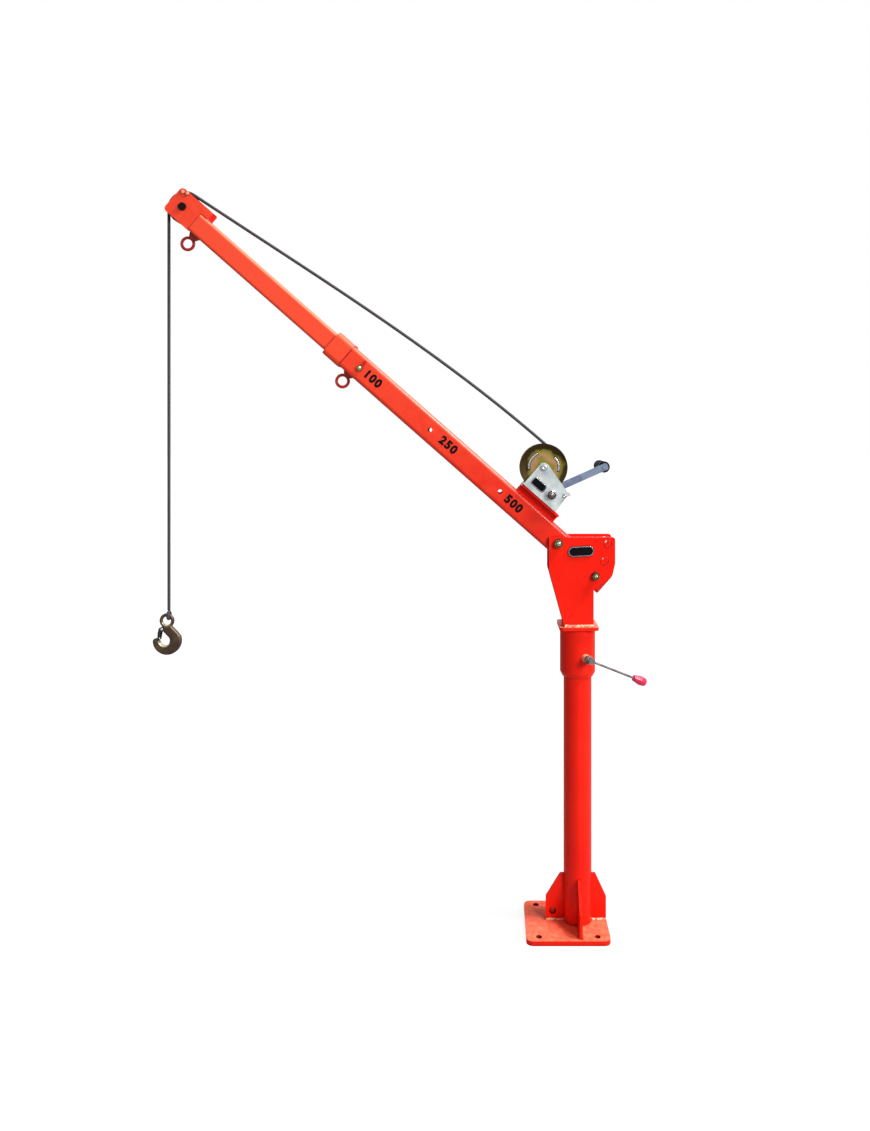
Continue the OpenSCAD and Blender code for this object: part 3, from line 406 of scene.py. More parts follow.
BRASSY = metal(
    "greenish_gold", [(0.3, (0.13, 0.13, 0.055)), (0.6, (0.32, 0.27, 0.11)), (0.75, (0.30, 0.18, 0.11))],
    0.30, 70, 2,
)
PALE_GOLD = metal("pale_gold", [(0.35, (0.22, 0.19, 0.10)), (0.6, (0.78, 0.72, 0.50))], 0.25, 260, 3)
DEEP_BROWN = metal(
    "deep_brown_steel", [(0.3, (0.045, 0.025, 0.012)), (0.7, (0.10, 0.06, 0.03))], 0.42, 60, metallic=0.5
)
BLACK_STEEL = plain("black_steel", (0.009, 0.006, 0.006), 0.5, shine=0.06)
ROPE = metal(
    "wire_rope", [(0.3, (0.050, 0.050, 0.060)), (0.7, (0.072, 0.072, 0.084))],
    0.8, 250, 3, metallic=0.0, shine=0.08,
)
CRIMSON = plain("crimson_plastic", (0.62, 0.012, 0.065), 0.28, 0.15)
DARK_STEEL = metal(
    "dark_steel_sheet", [(0.3, (0.025, 0.022, 0.020)), (0.7, (0.075, 0.070, 0.060))], 0.45, 70, metallic=0.6
)
ROD_STEEL = metal(
    "dull_steel_rod", [(0.3, (0.14, 0.12, 0.12)), (0.7, (0.26, 0.24, 0.24))], 0.35, 80, metallic=0.7
)
RUBBER = plain("black_rubber", (0.005, 0.005, 0.005), 0.6, shine=0.05)
# Painted highlight: a light pinkish red for the lit faces of the screw's boss on the sleeve and of the cheeks'
# bolt heads.
HIGHLIT_RED = paint("red_paint_highlight", (0.80, 0.20, 0.10), (0.92, 0.42, 0.26), 0.25, joints=0.9)
WELD = metal(
    "weld_bead", [(0.46, (0.80, 0.10, 0.05)), (0.56, (0.80, 0.60, 0.38))],
    0.5, 190, 3, metallic=0.0, bump=0.2,
)
PAINTED_WELD = paint("painted_weld", (0.70, 0.022, 0.010), (0.85, 0.035, 0.014), 0.4, joints=0.6)
BADGE = plain("badge_black", (0.004, 0.004, 0.006), 0.4, shine=0.05)
RIM = metal("badge_rim", [(0.3, (0.62, 0.62, 0.64)), (0.7, (0.75, 0.75, 0.77))], 0.22, 90)
INK = plain("number_ink", (0.006, 0.005, 0.006), 0.5, shine=0.05)
# Painted highlights low in the hook's bowl and inside its eye.
HOOK_STEEL = hook_paint(
    (HOOK_EYE + Vector((BOWL_AT[0], 0, BOWL_AT[1])) * MM, BOWL_R * MM), (HOOK_EYE, (EYE_R - EYE_BAR_R) * MM)
)

# ---- The materials of the part's own nodes ----
SLOT_MATERIALS = {
    "red_paint": RED, "dark_red_paint": DARK_RED_AND_SHADE, "zinc_plate": ZINC, "gold_chromate": BRASSY,
    "steel": STEEL, "dark_steel": BLACK_STEEL, "hook_steel": HOOK_STEEL, "wire_rope": ROPE,
    "crimson_plastic": CRIMSON, "black_rubber": RUBBER,
}
OWN_MATERIALS = {
    "base_plate": PLATE_SHEEN_RED, "head_base_plate": PLATE_SHEEN_RED,
    "clamp_boss": HIGHLIT_RED, "clamp_screw": ROD_STEEL, "clamp_lever": ROD_STEEL,
    "outer_tube": OUTER_RED, "tube_collar": COLLAR_RED, "inner_tube": INNER_RED,
    "tip_cheek_front": BOOM_RED, "tip_cheek_back": BOOM_RED,
    "drum": CHROMATE, "ratchet_wheel": BLUE_STEEL, "ratchet_pawl": ZINC,
    "crank_arm": BLUE_STEEL, "crank_pin": BLUE_STEEL, "hook_latch": DARK_STEEL,
}
for part in frame["record"]["subparts"]:
    material = OWN_MATERIALS.get(part["node"], SLOT_MATERIALS[part["material_slot"]])
    mesh = NODES[part["node"]].data
    mesh.materials.clear()
    mesh.materials.append(material)


def repaint(node, material, choose):
    """Gives one more material to the faces of a node that choose(centre, normal) picks.
    Both are in row coordinates."""
    piece = NODES[node]
    slot = len(piece.data.materials)
    piece.data.materials.append(material)
    turn = piece.matrix_world.to_3x3()
    for face in piece.data.polygons:
        if choose(piece.matrix_world @ face.center, turn @ face.normal):
            face.material_index = slot


def edges(_, normal):
    """Picks the upright edges of a flat plate."""
    return abs(normal.z) < 0.5


def hole_walls(centre, radius, axis):
    """Picks what lies round a hole's centre and square to its axis, 1 for Y or 2 for Z."""
    across = [k for k in range(3) if k != axis]

    def choose(at, normal):
        return abs(normal[axis]) < 0.5 and math.hypot(*(at[k] - centre[k] for k in across)) < radius

    return choose


# The plates' upright edges get plain RED; only their tops carry the painted sheen.
repaint("base_plate", RED, edges)
repaint("head_base_plate", RED, edges)
# Painted shade on the walls of the base plate's bolt holes and of the head's lock holes.
for side in (-1, 1):
    for depth in (-1, 1):
        bolt_hole = centre_of("base_plate") + Vector((side, depth, 0)) * BOLT_HOLE_OUT * MM
        repaint("base_plate", HOLE_SHADE, hole_walls(bolt_hole, 8 * MM, 2))
for node in ("head_plate_front", "head_plate_back"):
    for angle in LOCK_ANGLES:
        repaint(node, HOLE_SHADE, hole_walls(lock_hole(angle), 9 * MM, 1))
# Painted shade: between its head and its nut, the pivot's bolt is darker.
PIVOT_HEAD_T = 7.6 * MM
bolt_low, bolt_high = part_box("pivot_bolt")
repaint(
    "pivot_bolt", DEEP_BROWN,
    lambda at, normal: bolt_low[1] + PIVOT_HEAD_T < at.y < bolt_high[1] - PIVOT_HEAD_T,
)


# ---- Building pieces ----
def shade(mesh, smooth=True):
    mesh.polygons.foreach_set("use_smooth", [smooth] * len(mesh.polygons))


def mesh_piece(name, points, faces, material, body=None):
    mesh = bpy.data.meshes.new(name)
    mesh.from_pydata([tuple(p) for p in points], [], faces)
    mesh.validate()
    mesh.materials.append(material)
    shade(mesh)
    piece = bpy.data.objects.new(name, mesh)
    bpy.context.scene.collection.objects.link(piece)
    if body:
        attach(piece, body)
    return piece


def arc(centre, radius, start, end, count):
    """Points of a flat arc, by angles in degrees."""
    angles = [math.radians(start + (end - start) * i / count) for i in range(count + 1)]
    return [(centre[0] + radius * math.cos(a), centre[1] + radius * math.sin(a)) for a in angles]


def arc_path(centre, radius, first, second, steps, start=0.0, end=2 * math.pi):
    """Points of an arc in space, by angles in radians from one direction towards a second."""
    angles = [start + (end - start) * i / steps for i in range(steps + 1)]
    return [centre + (first * math.cos(a) + second * math.sin(a)) * radius for a in angles]


def swept(path, section, across):
    """Points and faces of a closed solid: section(s) gives (side, up) offsets at the length s of the path.
    across is the direction of side, square to the path all the way."""
    count = len(path)
    points, along = [], 0.0
    sides = len(section(0.0))
    for i, at in enumerate(path):
        ahead = (path[min(i + 1, count - 1)] - path[max(i - 1, 0)]).normalized()
        if i:
            along += (path[i] - path[i - 1]).length
        side = (across - ahead * across.dot(ahead)).normalized()
        up = ahead.cross(side)
        points += [at + side * a + up * b for a, b in section(along)]
    faces = [
        (i * sides + k, i * sides + (k + 1) % sides, (i + 1) * sides + (k + 1) % sides, (i + 1) * sides + k)
        for i in range(count - 1) for k in range(sides)
    ]
    faces += [tuple(reversed(range(sides))), tuple((count - 1) * sides + k for k in range(sides))]
    return points, faces


def resample(path, step):
    """The same line as evenly spaced points."""
    out, left = [path[0]], step
    for a, b in zip(path, path[1:]):
        length = (b - a).length
        while left < length:
            out.append(a.lerp(b, left / length))
            left += step
        left -= length
    if (out[-1] - path[-1]).length > step * 0.2:
        out.append(path[-1])
    else:
        out[-1] = path[-1]
    return out


def round_section(radius, sides, ripple=0.0, period=3 * MM):
    """A round outline for swept, whose radius ripples along the path by a share."""

    def section(along):
        r = radius * (1 + ripple * math.sin(2 * math.pi * along / period))
        angles = [2 * math.pi * k / sides for k in range(sides)]
        return [(r * math.cos(a), r * math.sin(a)) for a in angles]

    return section


def turned_piece(name, profile, matrix, material, body, sides):
    """A closed solid turned about its own z; the profile is (radius, z) from axis to axis, in millimetres."""
    points, faces = [], []
    for k in range(sides):
        a = 2 * math.pi * k / sides
        points += [matrix @ Vector((r * MM * math.cos(a), r * MM * math.sin(a), z * MM)) for r, z in profile]
    n = len(profile)
    for k in range(sides):
        m = (k + 1) % sides
        for i in range(n - 1):
            faces.append((k * n + i, k * n + i + 1, m * n + i + 1, m * n + i))
    piece = mesh_piece(name, points, faces, material)
    weld = piece.modifiers.new("weld", "WELD")
    weld.merge_threshold = 1e-6
    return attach(piece, body)


def turned_pieces(names, parts, matrix, body, sides):
    """Turned solids on one axis, each a (part, profile, material); {} in names stands for the part."""
    for part, profile, material in parts:
        turned_piece(names.format(part), profile, matrix, material, body, sides)


def rounded_plate(name, outline, thickness, edge, matrix):
    """A closed outline in its own xy, raised to a thickness along z with rounded edges."""
    curve = bpy.data.curves.new(name, "CURVE")
    curve.dimensions = "2D"
    curve.fill_mode = "BOTH"
    curve.extrude = thickness / 2 - edge
    curve.bevel_depth = edge
    curve.bevel_resolution = 5
    curve.offset = -edge
    line = curve.splines.new("POLY")
    line.points.add(len(outline) - 1)
    for point, (x, y) in zip(line.points, outline):
        point.co = (x, y, 0, 1)
    line.use_cyclic_u = True
    item = bpy.data.objects.new(name, curve)
    item.matrix_world = matrix
    bpy.context.scene.collection.objects.link(item)
    return item


def applied(item):
    """A mesh, in row coordinates, of an object with its modifiers or curve settings applied."""
    bpy.context.view_layer.update()
    graph = bpy.context.evaluated_depsgraph_get()
    source = item.evaluated_get(graph)
    mesh = bpy.data.meshes.new_from_object(source, preserve_all_data_layers=False, depsgraph=graph)
    mesh.transform(item.matrix_world)
    return mesh


def sampled(item, name, material, body):
    """Puts a mesh piece, with all modifiers and curve settings applied, in the place of an object."""
    mesh = applied(item)
    mesh.materials.clear()
    mesh.materials.append(material)
    shade(mesh)
    piece = bpy.data.objects.new(name, mesh)
    bpy.context.scene.collection.objects.link(piece)
    bpy.data.objects.remove(item)
    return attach(piece, body)


# ---- Wire rope ----
ROPE_R = 3.4 * MM
LAY = 38 * MM
STRANDS, STRAND_POINTS = 6, 5
STRAND_R, STRAND_AT = 0.65 * ROPE_R, 0.35 * ROPE_R
STRAND_SPREAD = 44


def rope_section(along):
    """The outline of six strands round a core, turned along the rope by its lay."""
    turn = 2 * math.pi * along / LAY
    outline = []
    for strand in range(STRANDS):
        middle = turn + 2 * math.pi * strand / STRANDS
        for point in range(STRAND_POINTS):
            bend = math.radians(-STRAND_SPREAD + 2 * STRAND_SPREAD * point / (STRAND_POINTS - 1))
            x = STRAND_AT * math.cos(middle) + STRAND_R * math.cos(middle + bend)
            y = STRAND_AT * math.sin(middle) + STRAND_R * math.sin(middle + bend)
            outline.append((x, y))
    return outline


def rope_piece(name, path, across, body, node, step=2.2 * MM):
    """A stretch of rope in the place of a node."""
    points, faces = swept(resample(path, step), rope_section, across)
    piece = mesh_piece(name, points, faces, ROPE, body)
    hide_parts(node)
    return piece


# From the top of the drum's turns to the sheave, bowed upwards and more so towards the drum.
sheave_at = joint_at("sheave_spin")
sheave_r = SHEAVE_R * MM
coil_r = COIL_R * MM
drum_b = in_boom(joint_at("drum_spin"))
sheave_b = in_boom(sheave_at)
run_drop = math.radians(RUN_DROP)
run_from = Vector((drum_b.x, 0, drum_b.z + coil_r))
run_to = Vector((sheave_b.x + sheave_r * math.sin(run_drop), 0, sheave_b.z + sheave_r * math.cos(run_drop)))
RUN_STEPS = 60


def run_point(t):
    """The point of the run at a share t of its way from drum to sheave."""
    chord = run_to - run_from
    up = Vector((-chord.z, 0, chord.x)).normalized()
    rise = RUN_BOW * chord.length * t * (1 - t) * (1 + RUN_LEAN * (1 - 2 * t))
    return BOOM @ (run_from + chord * t + up * rise)


run_path = [run_point(i / RUN_STEPS) for i in range(RUN_STEPS + 1)]
run = rope_piece("rope_to_tip", run_path, Y_AXIS, None, "rope_run")
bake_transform(run)

# From the end of the run over the sheave to the side where the rope falls.
run_end = BOOM @ run_to - sheave_at
over = arc_path(sheave_at, sheave_r, X_AXIS, Z_AXIS, 40, math.atan2(run_end.z, run_end.x), math.pi)
rope_piece("rope_on_sheave", over, Y_AXIS, "boom_extension", "rope_over_sheave")

# From the sheave straight down to the hook's loop.
fall_x = sheave_at.x - sheave_r
fall_top = Vector((fall_x, 0, sheave_at.z))
fall_end = Vector((fall_x, 0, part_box("rope_fall")[0][2]))
fall = rope_piece("rope_to_hook", [fall_top, fall_end], Y_AXIS, None, "rope_fall")
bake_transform(fall)

# The turns on the drum: from the run round the drum to the front flange, and then back under them.
COIL_STEPS = 72
# Share of a turn in which the rope drops from the upper layer to the lower one.
LAYER_CHANGE = 0.3
coil = []
for i in range((TOP_TURNS + LOW_TURNS) * COIL_STEPS + 1):
    turns = i / COIL_STEPS
    y = min(turns, 2 * TOP_TURNS - turns) * COIL_PITCH * MM
    ease = min(1, max(0, (turns - TOP_TURNS + LAYER_CHANGE / 2) / LAYER_CHANGE))
    r = coil_r - LAYER_DROP * MM * ease * ease * (3 - 2 * ease)
    a = math.pi / 2 + 2 * math.pi * turns
    coil.append(BOOM @ (drum_b + Vector((r * math.cos(a), y - drum_b.y, r * math.sin(a)))))
rope_piece("rope_turns", coil, Y_AXIS, "winch_drum", "rope_on_drum", step=2.6 * MM)


# ---- Hook: one rounded forging, from its eye to its point ----
def eye_mesh():
    """The ring of the hook's eye."""
    steps, bar_sides = 48, 16
    ring = arc_path(HOOK_EYE, EYE_R * MM, X_AXIS, Z_AXIS, steps)[:-1]
    bar_r = EYE_BAR_R * MM
    points, faces = [], []
    for i, at in enumerate(ring):
        out = (at - HOOK_EYE).normalized()
        here, ahead = i * bar_sides, (i + 1) % steps * bar_sides
        for k in range(bar_sides):
            a = 2 * math.pi * k / bar_sides
            points.append(at + out * bar_r * math.cos(a) + Y_AXIS * bar_r * math.sin(a))
            beside = (k + 1) % bar_sides
            faces.append((here + k, here + beside, ahead + beside, ahead + k))
    mesh = bpy.data.meshes.new("hook_eye")
    mesh.from_pydata([tuple(p) for p in points], [], faces)
    return mesh


def hook_body_mesh():
    """The hook below its eye: shank, back, point and bowl."""
    outline = (
        [(-5, -11), (10, -11), (13, -14), (23, -24.4)]
        + arc(BACK_AT, BACK_R, 20, -180, 48)
        + [(-29.4, -41), (-27, -38.6), (-22.5, -38.2), (-16.8, -41.5)]
        + arc(BOWL_AT, BOWL_R, 190, 410, 40)
        + [(-7, -23.4), (-6.5, -20)]
    )
    body = rounded_plate(
        "hook_body", [(x * MM, y * MM) for x, y in outline], HOOK_T * MM, 3.4 * MM,
        Matrix.Translation(HOOK_EYE) @ UPRIGHT,
    )
    mesh = applied(body)
    bpy.data.objects.remove(body)
    return mesh


latch_at = joint_at("latch_swing")
hook_mesh = hook_body_mesh()
joined = bmesh.new()
joined.from_mesh(hook_mesh)
joined.from_mesh(eye_mesh())
lug = bmesh.ops.create_uvsphere(joined, u_segments=24, v_segments=16, radius=4 * MM)
bmesh.ops.translate(joined, verts=lug["verts"], vec=latch_at)
bmesh.ops.recalc_face_normals(joined, faces=joined.faces)
joined.to_mesh(hook_mesh)
joined.free()
forging = bpy.data.objects.new("hook_parts", hook_mesh)
bpy.context.scene.collection.objects.link(forging)
remesh = forging.modifiers.new("remesh", "REMESH")
remesh.mode = "VOXEL"
remesh.voxel_size = 0.7 * MM
smooth = forging.modifiers.new("smooth", "SMOOTH")
smooth.iterations = 8
smooth.factor = 0.5
hook = sampled(forging, "hook_forging", HOOK_STEEL, "load_hook")
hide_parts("hook")

# The rivets that hold the latch, on both sides of the hook.
RIVET_OUT = 8.5
for side, face in ((1, "front"), (-1, "back")):
    turned_piece(
        "latch_rivet_" + face, [(0, 0), (2.6, 0), (2.6, 0.8), (1.8, 1.5), (0, 1.7)],
        facing(latch_at + Vector((0, -side * RIVET_OUT * MM, 0)), side), RIM, "load_hook", 20,
    )

# The rope's end, in a loop through the hook's eye.
eye_low, eye_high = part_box("rope_eye")
loop_r = (eye_high[2] - eye_low[2]) / 2 - ROPE_R
loop = arc_path(centre_of("rope_eye"), loop_r, Z_AXIS, Y_AXIS, 48)
rope_piece("rope_loop", loop, X_AXIS, "load_hook", "rope_eye", step=1.2 * MM)

# ---- Welds ----
# The direction of the sections' sides, which runs along none of the beads.
ASKEW = Vector((0.13, 0.21, 0.97))
FOOT = 0.5 * MM


def bead(name, path, radius, body, material):
    """A rippled bead along a path; its radius is in millimetres."""
    points, faces = swept(resample(path, 1.2 * MM), round_section(radius * MM, 10, 0.16, 3.2 * MM), ASKEW)
    mesh_piece(name, points, faces, material, body)


def gusset_beads(name, axis, sides, radius, material):
    """Beads at the foot of both sides of a gusset that stands out from the post along an axis, 0 or 1."""
    low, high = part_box("gusset_" + name)
    for side, across in zip(sides, (low[1 - axis], high[1 - axis])):
        path = []
        for out in sorted((low[axis], high[axis]), key=abs):
            x, y = (out, across) if axis == 0 else (across, out)
            path.append(Vector((x, y, low[2] + FOOT)))
        bead(f"weld_{name}_{side}", path, radius, "base", material)


def boom_bead(name, start, end, radius, body):
    """A dark bead between two points of the boom, a weld and a painted shade line along the joint."""
    bead(name, [boom_point(*start), boom_point(*end)], radius, body, DARK_RED_AND_SHADE)


for name in ("left", "right"):
    gusset_beads(name, 0, ("front", "back"), 3.0, WELD)
for name in ("front", "back"):
    gusset_beads(name, 1, ("left", "right"), 2.2, PAINTED_WELD)
for name, y in (("front", HEAD_FRONT), ("back", HEAD_BACK)):
    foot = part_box("head_plate_" + name)[0][2] + FOOT
    path = [Vector((x * MM, y, foot)) for x in (-NECK_HALF, NECK_HALF)]
    bead("weld_head_" + name, path, 4.2, "swivel", WELD)

# The joints of the boom: cheeks, collar, tie plate and eyes, lined with dark beads: painted shade lines along the
# cheeks and the collar, and welds with painted shade at the lap, tie plate and eyes.
cheek_u, collar_u, lap_v = TUBE_END + 0.6, COLLAR_BACK - 0.8, INNER_HALF + 0.4
for side, name in ((1, "front"), (-1, "back")):
    cheek_y, collar_y = side * CHEEK_OUT, side * (OUTER_HALF + 0.3)
    lap_start, lap_end = (LAP_END, cheek_y, lap_v), (TUBE_END + 1, cheek_y, lap_v)
    boom_bead("shade_line_cheek_" + name, (cheek_u, cheek_y, -17), (cheek_u, cheek_y, 17), 1.3, "boom_extension")
    boom_bead("weld_and_shade_lap_" + name, lap_start, lap_end, 1.5, "boom_extension")
    boom_bead("shade_line_collar_" + name, (collar_u, collar_y, -18), (collar_u, collar_y, 18), 1.3, "boom")
boom_bead("weld_and_shade_tie", (LAP_END, -13, lap_v), (LAP_END, 13, lap_v), 2.0, "boom_extension")
for name, u, v, body in (
    ("lower", LOWER_EYE_U, -OUTER_HALF, "boom"), ("upper", UPPER_EYE_U, -INNER_HALF, "boom_extension"),
):
    for side, face in ((1, "front"), (-1, "back")):
        start, end = ((u + reach, side * 4.2, v - 0.3) for reach in (-12, 12))
        boom_bead(f"weld_{name}_eye_{face}", start, end, 2.0, body)

# ---- Fasteners ----
# Two bolts near the corner of each cheek, with a painted highlight on their heads and painted shade on the dark
# washers round them.
for side, face in ((1, "front"), (-1, "back")):
    for name, u, v, r in (("corner", 1104, 31.5, 4.4), ("edge", 1094, 35.4, 4.2)):
        turned_pieces(
            f"cheek_bolt_{name}_{{}}_{face}",
            (
                ("washer", [(0, 0), (r + 1, 0), (r + 1, 0.7), (0, 0.7)], DARK_RED_AND_SHADE),
                ("head", [(0, 0), (r, 0), (r, 1.8), (0.8 * r, 2.6), (0, 2.6)], HIGHLIT_RED),
            ),
            facing(boom_point(u, side * CHEEK_OUT, v), side), "boom_extension", 20,
        )

# ---- Numbers on the boom ----
for text, at, up in (("100", 530, 0.4), ("250", 315, 1.0), ("500", 127, -1.0)):
    words = bpy.data.curves.new("number_" + text, "FONT")
    words.body = text
    words.align_x = "CENTER"
    words.align_y = "CENTER"
    words.size = 25 * MM
    words.offset = 1.3 * MM
    words.extrude = 0.1 * MM
    words.space_character = 1.22
    item = bpy.data.objects.new("number_" + text, words)
    bpy.context.scene.collection.objects.link(item)
    item.matrix_world = Matrix.Translation(boom_point(at, OUTER_HALF + 0.15, up)) @ AGAINST
    number = sampled(item, "mark_" + text, INK, "boom")
    shade(number.data, False)


# ---- Badges: plain dark plates with a bright rim ----
def badge(name, at, along, up, length, height, corner_r, body):
    """A badge in three layers, whose sizes are in millimetres; it faces where along and up turn it."""
    matrix = Matrix.Translation(at) @ Matrix((along, up, along.cross(up))).transposed().to_4x4()

    def outline(grow):
        w, h, r = length * MM / 2 + grow, height * MM / 2 + grow, corner_r * MM + grow
        return (
            arc((w - r, h - r), r, 0, 90, 10) + arc((-w + r, h - r), r, 90, 180, 10)
            + arc((-w + r, -h + r), r, 180, 270, 10) + arc((w - r, -h + r), r, 270, 360, 10)
        )

    for part, grow, depth, lift, material, slot in (
        ("edge", 1.5, 2.4, 0, BADGE, "dark_steel"),
        ("rim", 0.7, 1.0, 1.0, RIM, "steel"),
        ("face", -0.6, 1.0, 1.3, BADGE, "dark_steel"),
    ):
        place = matrix @ Matrix.Translation((0, 0, lift * MM))
        plate = rounded_plate(f"{name}_{part}", outline(grow * MM), depth * MM, 0.3 * MM, place)
        sampled(plate, f"{name}_{part}", material, body)


BADGE_SUNK = 0.9
tilt = math.radians(3)
badge(
    "head_badge", Vector((4 * MM, HEAD_FRONT - BADGE_SUNK * MM, 812 * MM)),
    Vector((math.cos(tilt), 0, math.sin(tilt))), Vector((-math.sin(tilt), 0, math.cos(tilt))),
    52, 19, 9.5, "swivel",
)
badge("winch_badge", boom_point(114, FRAME_OUT - BADGE_SUNK, 66), -ALONG, UP, 33, 16.5, 4.95, "boom")

# ---- Bolt ends ----
# The bright dished centres of the bolts' heads, each on a black seat that paints the shade round the head.
for name, at, node, r, sunk in (
    ("pivot", PIVOT, "pivot_bolt", 5.2, 9.7), ("lock", centre_of("lock_bolt"), "lock_bolt", 4.2, 9.6),
):
    floor_z, top_z = -sunk - 1, -sunk + 0.5
    turned_pieces(
        name + "_bolt_{}",
        (
            ("seat", [(0, floor_z), (r + 4.6, floor_z), (r + 4.6, top_z), (0, top_z)], BLACK_STEEL),
            ("ring", [(0, -1), (r + 1.2, -1), (r + 1.2, 0.5), (r, 0.9), (0, 0.9)], DEEP_BROWN),
            ("centre", [(0, -1), (r - 0.8, -1), (r - 0.8, 1.2), (0.6 * r, 1.7), (0, 1.8)], PALE_GOLD),
        ),
        facing(front_face(node, at)), "swivel", 24,
    )

# The dark nut in the washer at the shaft's front end.
for part, profile, material, sides in (
    ("washer", [(0, -5), (10.4, -5), (10.4, -1.0), (0, -1.0)], RIM, 32),
    ("flange", [(0, -5), (8.7, -5), (8.7, -0.2), (8.1, 0.3), (0, 0.3)], BLACK_STEEL, 32),
    ("face", [(0, -1), (6.6, -1), (6.6, 1.6), (5.8, 2.2), (0, 2.2)], ROD_STEEL, 6),
    ("groove", [(0, -1), (4.2, -1), (4.2, 2.5), (0, 2.5)], DEEP_BROWN, 24),
    ("end", [(0, -1), (2.6, -1), (2.6, 2.9), (0, 2.9)], ROD_STEEL, 24),
):
    at = facing(front_face("drive_shaft", joint_at("crank_spin")))
    turned_piece("shaft_nut_" + part, profile, at, material, "crank", sides)

# The bolt ends of the drum's axle and of the pawl's pin, in their dark rings.
for name, node, r in (("axle", "drum_axle", 6.2), ("pawl_pin", "pawl_pin", 3.6)):
    dished = [(0.8 * r, 1.0), (0.5 * r, 1.0), (0.4 * r, 0.4), (0, 0.4)]
    turned_pieces(
        name + "_end_{}",
        (
            ("ring", [(0, -3), (r + 1.3, -3), (r + 1.3, -2.2), (r + 1.0, -1.8), (0, -1.8)], DARK_STEEL),
            ("head", [(0, -3), (r, -3), (r, 0), *dished], STEEL),
        ),
        facing(front_face(node, centre_of(node))), "boom", 24,
    )

# ---- Holes of the head and the left gusset ----
# Painted shade: dark rings on the rims of the free lock holes.
for angle in LOCK_ANGLES[:-1]:
    for y, side in ((HEAD_FRONT, "front"), (HEAD_BACK, "back")):
        rim = arc_path(lock_hole(angle, y), 7.9 * MM, X_AXIS, Z_AXIS, 40)
        points, faces = swept(rim, round_section(0.7 * MM, 8), Y_AXIS)
        name = f"lock_hole_rim_{side}_{round(angle)}"
        mesh_piece(name, points, faces, HOLE_SHADE, "swivel")

# Painted shade: a dark disc in the hole of the left gusset.
gusset_low, gusset_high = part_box("gusset_left")
hole_shade_at = Vector((
    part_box("post")[0][0] - GUSSET_HOLE_OUT * MM,
    (gusset_low[1] + gusset_high[1]) / 2,
    gusset_low[2] + GUSSET_HOLE_UP * MM,
))
turned_piece(
    "gusset_hole_shade", [(0, -1.2), (7.6, -1.2), (7.6, 1.2), (0, 1.2)],
    facing(hole_shade_at), DARK_RED_AND_SHADE, "base", 32,
)

# ---- The extension pin's band and bright centre ----
band_outline = [(-3.4, -8), (3.4, -8), (3.4, 6), (2.4, 8), (-2.4, 8), (-3.4, 6)]
band = rounded_plate(
    "pin_band", [(x * MM, y * MM) for x, y in band_outline], 1.6 * MM, 0.5 * MM,
    Matrix.Translation(boom_point(PIN_U, OUTER_HALF + 0.7, 12)) @ AGAINST,
)
sampled(band, "pin_band", DARK_RED_AND_SHADE, "boom")
turned_piece(
    "pin_centre", [(0, -1), (3.4, -1), (3.2, 0.5), (1.5, 0.9), (0, 0.9)],
    facing(front_face("extension_pin", centre_of("extension_pin"))), PALE_GOLD, "boom", 24,
)

# ---- Painted highlights: bright arcs behind the slots of the drum's flange ----
ARC_HALF_WIDTH = 2.0
arcs_at = front_face("drum", joint_at("drum_spin")) + Vector((0, (FLANGE_DISH + 1.5) * MM, 0))
for name, start, end in (("left", 156, 228), ("right", 27, 84)):
    outer = arc((0, 0), SLOT_R + ARC_HALF_WIDTH, start, end, 16)
    inner = arc((0, 0), SLOT_R - ARC_HALF_WIDTH, end, start, 16)
    outline = [(x * MM, y * MM) for x, y in outer + inner]
    place = Matrix.Translation(arcs_at) @ AGAINST
    bright_arc = rounded_plate("slot_highlight_" + name, outline, 2 * MM, 0.8 * MM, place)
    sampled(bright_arc, "slot_highlight_" + name, RIM, "winch_drum")

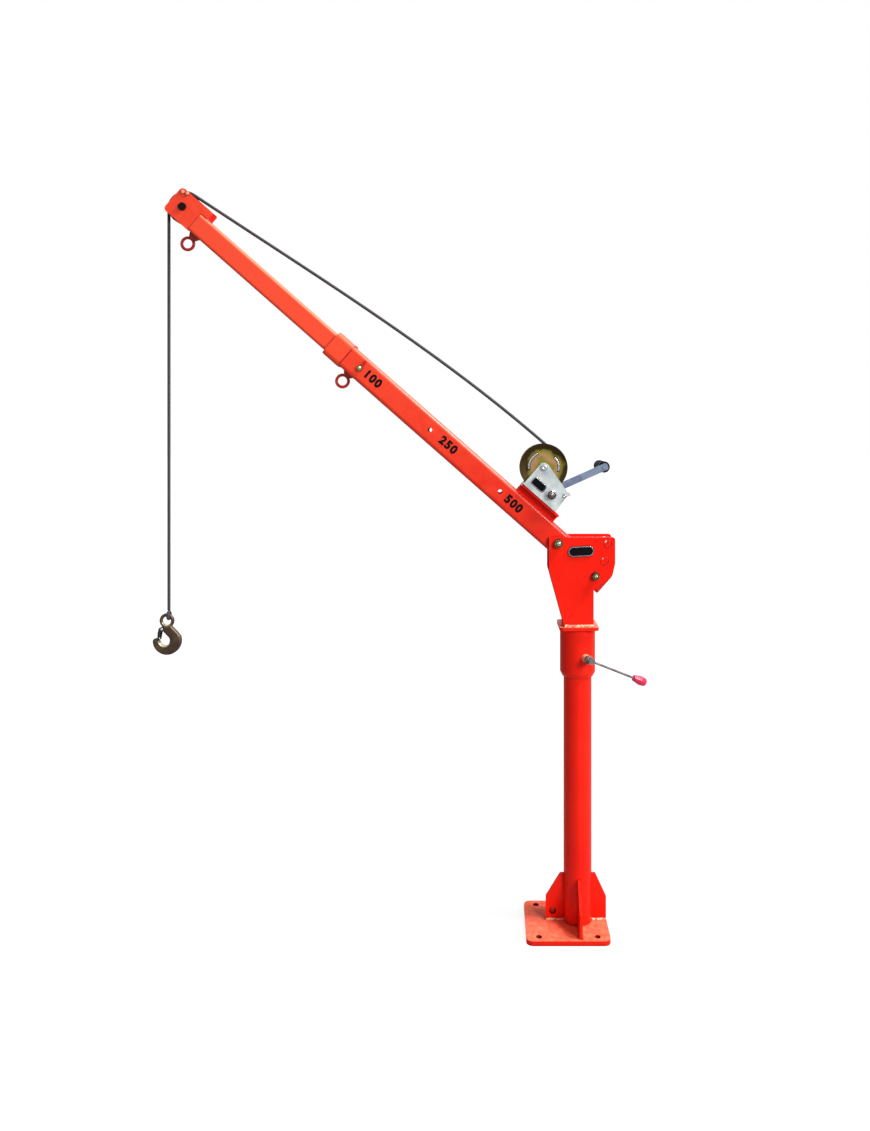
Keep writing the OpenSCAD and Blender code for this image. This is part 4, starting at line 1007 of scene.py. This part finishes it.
# ---- Floor: lit by the lamps, and lifted to the white of the background for the camera ----
FLOOR_HALF = 40
FLOOR_GLOW = 0.6
floor_mesh = bpy.data.meshes.new("floor")
corners = [(x * FLOOR_HALF, y * FLOOR_HALF, 0) for x, y in ((-1, -1), (1, -1), (1, 1), (-1, 1))]
floor_mesh.from_pydata(corners, [], [(0, 1, 2, 3)])
floor = bpy.data.objects.new("floor", floor_mesh)
bpy.context.scene.collection.objects.link(floor)
floor_shader = Shader("floor")
floor_shader.set(Base_Color=(0.30, 0.30, 0.30, 1), Roughness=0.9)
position = floor_shader.add("NewGeometry").outputs["Position"]
reach = floor_shader.vectors("LENGTH", position)["Value"]
glow = floor_shader.add("Emission", Color=(1, 1, 1, 1))
floor_shader.join(floor_shader.mapped(reach, 0.7, 2.4, 1.46, 1.75), glow, "Strength")
seen = floor_shader.add("LightPath").outputs["Is Camera Ray"]
mix = floor_shader.add("MixShader")
floor_shader.join(floor_shader.maths("MULTIPLY", seen, FLOOR_GLOW), mix, 0)
floor_shader.join(floor_shader.bsdf.outputs[0], mix, 1)
floor_shader.join(glow.outputs[0], mix, 2)
floor_shader.join(mix.outputs[0], floor_shader.nodes["Material Output"], "Surface")
floor_mesh.materials.append(floor_shader.material)

# ---- World: white to the camera and in reflections, and a dim light on the object ----
WORLD_LIGHT = 0.31
world = bpy.data.worlds.new("studio")
bpy.context.scene.world = world
world.use_nodes = True
sky = Tree(world.node_tree)
background = sky.nodes["Background"]
background.inputs["Color"].default_value = (1, 1, 1, 1)
rays = sky.add("LightPath").outputs
white = sky.maths("MAXIMUM", rays["Is Camera Ray"], rays["Is Glossy Ray"])
white = sky.maths("MAXIMUM", white, rays["Is Transmission Ray"])
sky.join(sky.mapped(white, 0, 1, WORLD_LIGHT, 1), background, "Strength")


# ---- Lamps ----
def lamp(name, at, target, size, watts, colour=(1, 1, 1)):
    data = bpy.data.lights.new(name, "AREA")
    data.shape = "DISK"
    data.size = size
    data.energy = watts
    data.color = colour
    item = bpy.data.objects.new(name, data)
    bpy.context.scene.collection.objects.link(item)
    item.location = at
    item.rotation_euler = (Vector(target) - Vector(at)).to_track_quat("-Z", "Y").to_euler()


lamp("key", (2.6, -3.4, 2.3), (-0.2, 0, 0.9), 1.3, 148, (1.0, 0.97, 0.94))
lamp("top", (1.9, -0.5, 3.8), (-0.3, 0, 0.9), 1.2, 235)

bpy.context.scene.view_settings.view_transform = "Standard"
